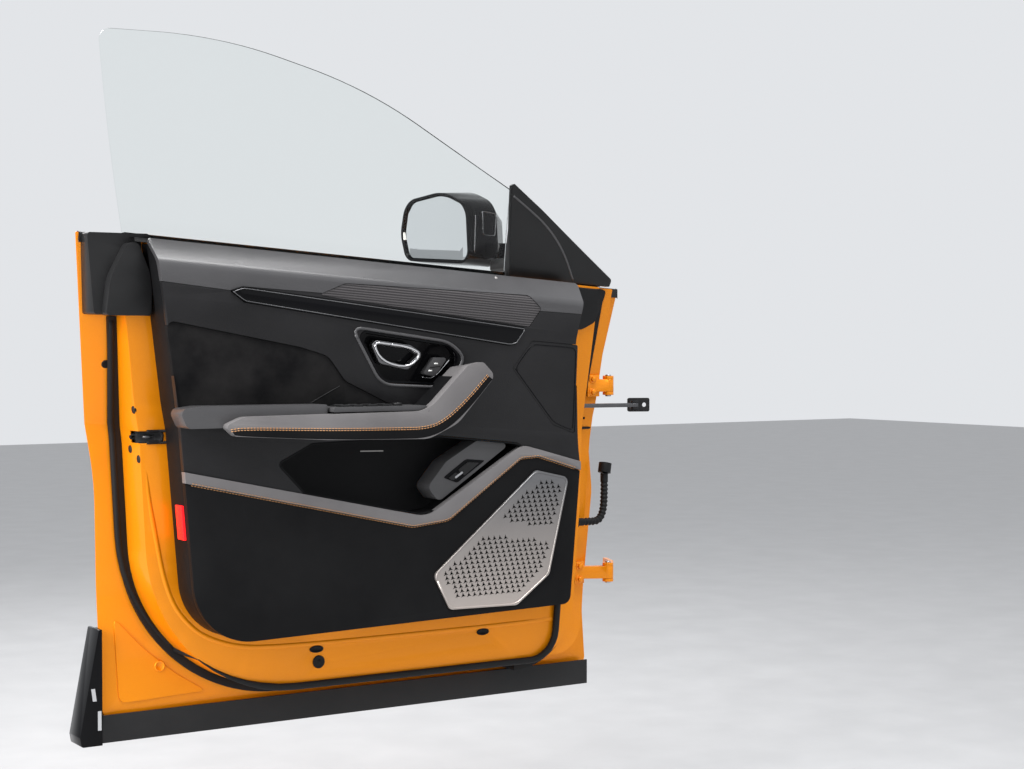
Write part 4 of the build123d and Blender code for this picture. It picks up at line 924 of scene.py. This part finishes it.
# Switches on the armrest: a satin grey pod pushed in from above, with four pairs of rocking keys
# for the windows and a round dial for the mirrors. All are moulded plastic on pivots.
SWITCH_X = (-682, -655, -626, -597)
SWITCH_LENGTH = 18
SWITCH_INSET = 9
SWITCH_ROW = 24
SWITCH_W = 18
SWITCH_SINK = 0.5
SWITCH_HEIGHTS = (4.2, 4.2, 2.0, 2.0)
SWITCH_FACES = [(0, 1, 5, 4), (1, 2, 6, 5), (2, 3, 7, 6), (3, 0, 4, 7), (4, 5, 6, 7), (3, 2, 1, 0)]
SWITCH_BEVEL = 1.0
SWITCH_DIAL = (-560, 24, 0.2)
DIAL_ROWS = [(0, 9), (4.5, 8.6), (5.6, 7.6), (5.8, 3)]
dress(GREY_PLASTIC, window_switch_pod=0.8)
pod_low, pod_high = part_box("window_switch_pod")
keys = []
for x in SWITCH_X:
    for row in (0, 1):
        y = pod_low.y + (SWITCH_INSET + row * SWITCH_ROW) * MM
        start, end = PIN.x + x * MM, PIN.x + (x + SWITCH_LENGTH) * MM
        base = [(start, y), (end, y), (end, y + SWITCH_W * MM), (start, y + SWITCH_W * MM)]
        foot = [Vector((a, b, pod_high.z - SWITCH_SINK * MM)) for a, b in base]
        crest = [Vector((a, b, pod_high.z + h * MM)) for (a, b), h in zip(base, SWITCH_HEIGHTS)]
        keys.append((foot + crest, SWITCH_FACES))
window_keys = mesh_object("window_switches", *joined(keys), BLACK_PLASTIC, "gloss_black", smooth=False)
bevel(window_keys, SWITCH_BEVEL, 2)
dial_x, dial_y, dial_sink = SWITCH_DIAL
dial_foot = Vector((PIN.x + dial_x * MM, pod_low.y + dial_y * MM, pod_high.z - dial_sink * MM))
mesh_object("mirror_dial", *turned(dial_foot, UP, DIAL_ROWS), BLACK_PLASTIC, "gloss_black")

# Pocket and its console: a moulded liner welded behind the cards, and a grey console screwed into its
# front end, with a gloss plate, two keys and a bright bar. A slim lamp lights the pocket.
CONSOLE_PLATE = [(-430, 213), (-380, 246), (-338, 242), (-400, 202)]
PLATE_ROUND = 5
PLATE_RISE = 1.2
PLATE_SINK = 0.5
PLATE_BEVEL = 0.6
CONSOLE_KEYS = [[(-420, 212), (-404, 222), (-395, 216.5), (-410, 206.5)],
                [(-399, 226), (-377, 240), (-352, 238), (-385, 215)]]
KEY_ROUND = 3
KEY_RISE = 3.2
KEY_BEVEL = 0.8
CONSOLE_BAR = [(-407, 213.5), (-391, 223.5), (-388.5, 220.5), (-404.5, 210.5)]
BAR_RISE = 4.2
POCKET_LAMP = [(-580, 266), (-532, 265), (-532, 263), (-580, 264)]
POCKET_LAMP_RISE = 1.2
dress(PLASTIC, pocket_liner=1.0)
dress(GREY_PLASTIC, switch_console=2.0)
plate = slab(rounded(CONSOLE_PLATE, PLATE_ROUND), ["switch_console"], PLATE_RISE, PLATE_SINK)
console_plate = mesh_object("console_plate", *plate, GLOSS, "gloss_black", smooth=False)
bevel(console_plate, PLATE_BEVEL, 2)
for number, edge in enumerate(CONSOLE_KEYS):
    key = slab(rounded(edge, KEY_ROUND), ["switch_console"], KEY_RISE)
    key = mesh_object(f"console_key_{number + 1}", *key, BLACK_PLASTIC, "gloss_black", smooth=False)
    bevel(key, KEY_BEVEL, 2)
bar = slab(CONSOLE_BAR, ["switch_console"], BAR_RISE)
mesh_object("console_bar", *bar, CHROME, "chrome", smooth=False)
pocket_lamp = slab(POCKET_LAMP, ["pocket_liner"], POCKET_LAMP_RISE)
mesh_object("pocket_lamp", *pocket_lamp, DIM, "window_glass", smooth=False)

# Speaker cover: brushed metal 3 mm thick with a rolled rim, clipped over the speaker, and black
# cloth glued behind it. Each hole of its two fields is the middle of a pressed three-armed cut.
CLOTH_EDGE = [(-446, 30), (-228, 209), (-158, 196), (-200, 20), (-270, -27), (-416, -27)]
CLOTH_DEPTH = 4.5
# Columns of the two fields: x, z, clockwise.
GRILLE_FIELDS = [[(-216.7, 206.1), (-160.4, 192.1), (-188.6, 104.2), (-319.7, 126.8)],
                 [(-348.9, 105.6), (-188.6, 82.8), (-216.6, 24.6), (-265.1, -14.3), (-410.9, -18.3),
                  (-439.2, 32.4)]]
HOLE_PITCH = 12.6
ROW_PITCH = 8.6
ROW_SHIFT = 2.6
HOLE_MARGIN = 3.0
CUT_BESIDE = 5.2
CUT_LIFT = 0.1
ARMS = (100, 220, 340)
ARM_LENGTH = 6.6
ARM_W = 2.8
GRILLE_RIM = [(-454.5, 33), (-228, 217.3), (-153.4, 201), (-199, 18), (-273, -34.5), (-420.5, -31.5)]
GRILLE_RIM_ROUND = 12
GRILLE_RIM_R = 2.0
GRILLE_RIM_SINK = 0.6
# Heights in metres where the painted reflection on the cover is darkest and where it is lightest.
REFLECTION_TOP = 0.20
REFLECTION_FOOT = -0.03


def brushed_cover_painted_reflection():
    """Brushed metal with a painted reflection: a cool grey at its top that turns to a lighter warm grey at
    its foot.
    """
    material = surface("brushed_grille_painted_reflection", (0.20, 0.20, 0.205), (0.56, 0.50, 0.46), 0.36, 0.44, metal=0.85,
                       grain=1500.0, strength=0.05)
    tree = material.node_tree
    coords = tree.nodes.new("ShaderNodeTexCoord")
    height = tree.nodes.new("ShaderNodeSeparateXYZ")
    painted_reflection = tune(tree.nodes.new("ShaderNodeMapRange"), {"From Min": REFLECTION_TOP, "From Max": REFLECTION_FOOT})
    tree.links.new(coords.outputs["Object"], height.inputs["Vector"])
    tree.links.new(height.outputs["Z"], painted_reflection.inputs["Value"])
    tree.links.new(painted_reflection.outputs["Result"], tree.nodes["tint"].inputs["Factor"])
    return material


def inset(field, x, z):
    """How far a place lies inside the nearest edge of a field."""
    return min(((x - x_0) * (z_1 - z_0) - (z - z_0) * (x_1 - x_0)) / math.hypot(x_1 - x_0, z_1 - z_0)
               for (x_0, z_0), (x_1, z_1) in zip(field, field[1:] + field[:1]))


# The cover's colour and its rim's carry a painted reflection, darker at the top and lighter at the foot.
METAL_PAINTED_REFLECTION = brushed_cover_painted_reflection()
CLOTH = surface("speaker_cloth", (0.002, 0.002, 0.002), (0.005, 0.005, 0.005), 0.95, 0.98, grain=3000.0,
                strength=0.6, shine=0.05)
dress(METAL_PAINTED_REFLECTION, speaker_grille=2.0)
cloth = [point + Vector((0, CLOTH_DEPTH * MM, 0)) for point in trace(["speaker_grille"], CLOTH_EDGE)]
mesh_object("speaker_cloth", cloth, [tuple(range(len(cloth)))], CLOTH, "grille_metal")
cuts = []
for field in GRILLE_FIELDS:
    high, low = max(z for _, z in field), min(z for _, z in field)
    left, right = min(x for x, _ in field), max(x for x, _ in field)
    for row in range(int((high - low) / ROW_PITCH) + 1):
        for column in range(-1, int((right - left) / HOLE_PITCH) + 1):
            x = left + column * HOLE_PITCH + (row * ROW_SHIFT) % HOLE_PITCH
            z = high - HOLE_MARGIN - row * ROW_PITCH
            if inset(field, x, z) <= HOLE_MARGIN:
                continue
            level = seat(["lower_card", "speaker_grille"], x + CUT_BESIDE, z)[0].y - CUT_LIFT * MM
            face = Vector((PIN.x, level, 0))
            for angle in ARMS:
                c, t = math.cos(math.radians(angle)), math.sin(math.radians(angle))
                corners = [(x - t * ARM_W / 2, z + c * ARM_W / 2), (x + t * ARM_W / 2, z - c * ARM_W / 2),
                           (x + c * ARM_LENGTH, z + t * ARM_LENGTH)]
                cuts.append(([face + Vector((a * MM, 0, b * MM)) for a, b in corners], [(0, 1, 2)]))
mesh_object("grille_cuts", *joined(cuts), CLOTH, "grille_metal", smooth=False)
rim = trace(["speaker_grille"], rounded(GRILLE_RIM, GRILLE_RIM_ROUND, 4), -GRILLE_RIM_SINK)
mesh_object("grille_rim", *tube(rim + rim[:1], GRILLE_RIM_R, sides=10, up=INWARD), METAL_PAINTED_REFLECTION, "grille_metal")

# Edge lamp: a lens moulded in clear red plastic and clipped into the trim's rear edge.
# Its bulb lights it while the door is open.
RED = lit("red_lens", (0.95, 0.012, 0.015), 1.5)
dress(RED, edge_lamp=1.0)

# Hinges: two pairs of forged steel leaves, bolted to the door and to the pillar and painted with
# the body. Each pair turns on a plated pin that is riveted over at both ends.
LEAF_BOLTS = [("lower_door_leaf", -56, 13), ("lower_door_leaf", -56, -13), ("upper_door_leaf", -38, 391),
              ("upper_door_leaf", -38, 365)]
BOLT_WASHER = [(-1, 8.6), (1.2, 8.6), (1.6, 8.0)]
BOLT_HEAD = [(1, 5.8), (6.0, 5.8), (6.8, 5.0)]
PIN_END = [(-1, 6), (2.2, 6), (3.2, 4.4)]
ZINC = surface("zinc", (0.42, 0.42, 0.43), (0.52, 0.52, 0.53), 0.3, 0.42, metal=1.0, strength=0.08)
dress(PAINT, lower_door_leaf=1.0, upper_door_leaf=1.0, lower_pillar_leaf=1.0, upper_pillar_leaf=1.0)
bolts = []
for name, x, z in LEAF_BOLTS:
    point, normal = seat([name], x, z)
    bolts += [turned(point, normal, BOLT_WASHER, sides=28), turned(point, normal, BOLT_HEAD, sides=6)]
mesh_object("leaf_bolts", *joined(bolts), PAINT, "body_paint")
pins = []
for name in ("lower_pillar_leaf", "upper_pillar_leaf"):
    low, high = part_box(name)
    for level, way in ((high.z, UP), (low.z, -UP)):
        pins.append(turned(Vector((PIN.x, PIN.y, level)), way, PIN_END, sides=24))
mesh_object("hinge_pins", *joined(pins), ZINC, "latch_steel", body="pillar")

# Door check: a steel strap that pivots in a black bracket bolted to the pillar, and slides through
# a sprung box screwed to the door. It holds the door where it is left.
dress(STEEL, checker_box=1.0, check_strap=0.8)
dress(BLACK_PLASTIC, check_bracket=1.0)

# Wiring boot: a ribbed rubber hose, moulded in one piece, from a flange on the door to a plug on the
# pillar. It carries the wires; on the car it bends as the door swings, and here it is one fixed mesh on no
# body.
BOOT_ROUTE = [(-74.6, 7, 104), (-46, 6, 104), (-20, 5, 104), (-6, 9, 122), (0, 13, 150), (2, 16, 199.5)]
BOOT_STEP = 1.4
BOOT_R = 8.0
RIB = 1.7
RIBS = 19
RIBBED_PART = (0.1, 0.9)
BOOT_END_RISE = 0.6
FLANGE_PLACE = (-74.9, 7, 104)
FLANGE_ROWS = [(0, 11), (2.5, 11), (3.2, 9.4), (5.0, 9.0)]
dress(RUBBER, loom_boot=1.0, loom_plug=1.0)
boot_points = [place for place, _ in along(smooth_chain([door(*p) for p in BOOT_ROUTE]), BOOT_STEP * MM)]
radii = []
for i in range(len(boot_points)):
    share = i / (len(boot_points) - 1)
    in_ribs = RIBBED_PART[0] < share < RIBBED_PART[1]
    wave = math.cos(2 * math.pi * RIBS * share) * RIB / 2 if in_ribs else BOOT_END_RISE
    radii.append(BOOT_R - RIB / 2 + wave)
boot = mesh_object("loom_hose", *tube(boot_points, radii, sides=20), RUBBER, "seal_rubber", body=None)
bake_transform(boot)
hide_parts("loom_boot")
flange = turned(door(*FLANGE_PLACE), ALONG, FLANGE_ROWS, sides=28)
mesh_object("boot_flange", *flange, RUBBER, "seal_rubber")

# Studio: a pale floor at the height of the road, a bright room, and soft light from above and from
# both sides. The camera stands where the photo's stood, 3.7 m from the door.
FLOOR_Z = -520
FLOOR_CORNERS = ((-12, -12), (14, -12), (14, 14), (-12, 14))
ROOM_LIGHT = {"Color": (0.90, 0.92, 0.95, 1), "Strength": 0.85}
# Columns of each lamp: name, place, the point it faces, width, height, power.
SOFTBOXES = [("key", (-1.0, -1.2, 3.4), (-0.6, -0.1, 0.3), 3.4, 1.2, 150),
             ("side", (-3.6, -0.8, 1.2), (-0.9, 0, 0.1), 1.2, 2.2, 90),
             ("rim", (-0.8, 2.8, 2.4), (-0.5, 0, 0.4), 2.6, 1.2, 60)]
CAMERA = (-2206, -3016, 471)
CAMERA_TURN = math.radians(33.2)
CAMERA_DIP = math.radians(1.4)
LENS = 64.86
SENSOR = 36
scene = bpy.context.scene
scene.view_settings.view_transform = "Standard"
FLOOR = surface("studio_floor", (0.44, 0.44, 0.445), (0.48, 0.48, 0.485), 0.75, 0.9, strength=0.0)
floor = mesh_object("floor", [(x, y, FLOOR_Z * MM) for x, y in FLOOR_CORNERS], [(0, 1, 2, 3)], FLOOR, None,
                    body=None)
world = bpy.data.worlds.new("studio")
scene.world = world
world.use_nodes = True
tune(world.node_tree.nodes["Background"], ROOM_LIGHT)
for name, place, aim, width, height, power in SOFTBOXES:
    light = bpy.data.lights.new(name, "AREA")
    light.shape = "RECTANGLE"
    light.size = width
    light.size_y = height
    light.energy = power
    lamp = bpy.data.objects.new(name, light)
    scene.collection.objects.link(lamp)
    lamp.location = place
    lamp.rotation_euler = (Vector(aim) - Vector(place)).to_track_quat("-Z", "Y").to_euler()
lens = bpy.data.cameras.new("photo_camera")
lens.lens = LENS
lens.sensor_width = SENSOR
camera = bpy.data.objects.new("photo_camera", lens)
scene.collection.objects.link(camera)
camera.location = door(*CAMERA)
gaze = Vector((math.sin(CAMERA_TURN) * math.cos(CAMERA_DIP), math.cos(CAMERA_TURN) * math.cos(CAMERA_DIP),
               -math.sin(CAMERA_DIP)))
camera.rotation_euler = gaze.to_track_quat("-Z", "Y").to_euler()
scene.camera = camera
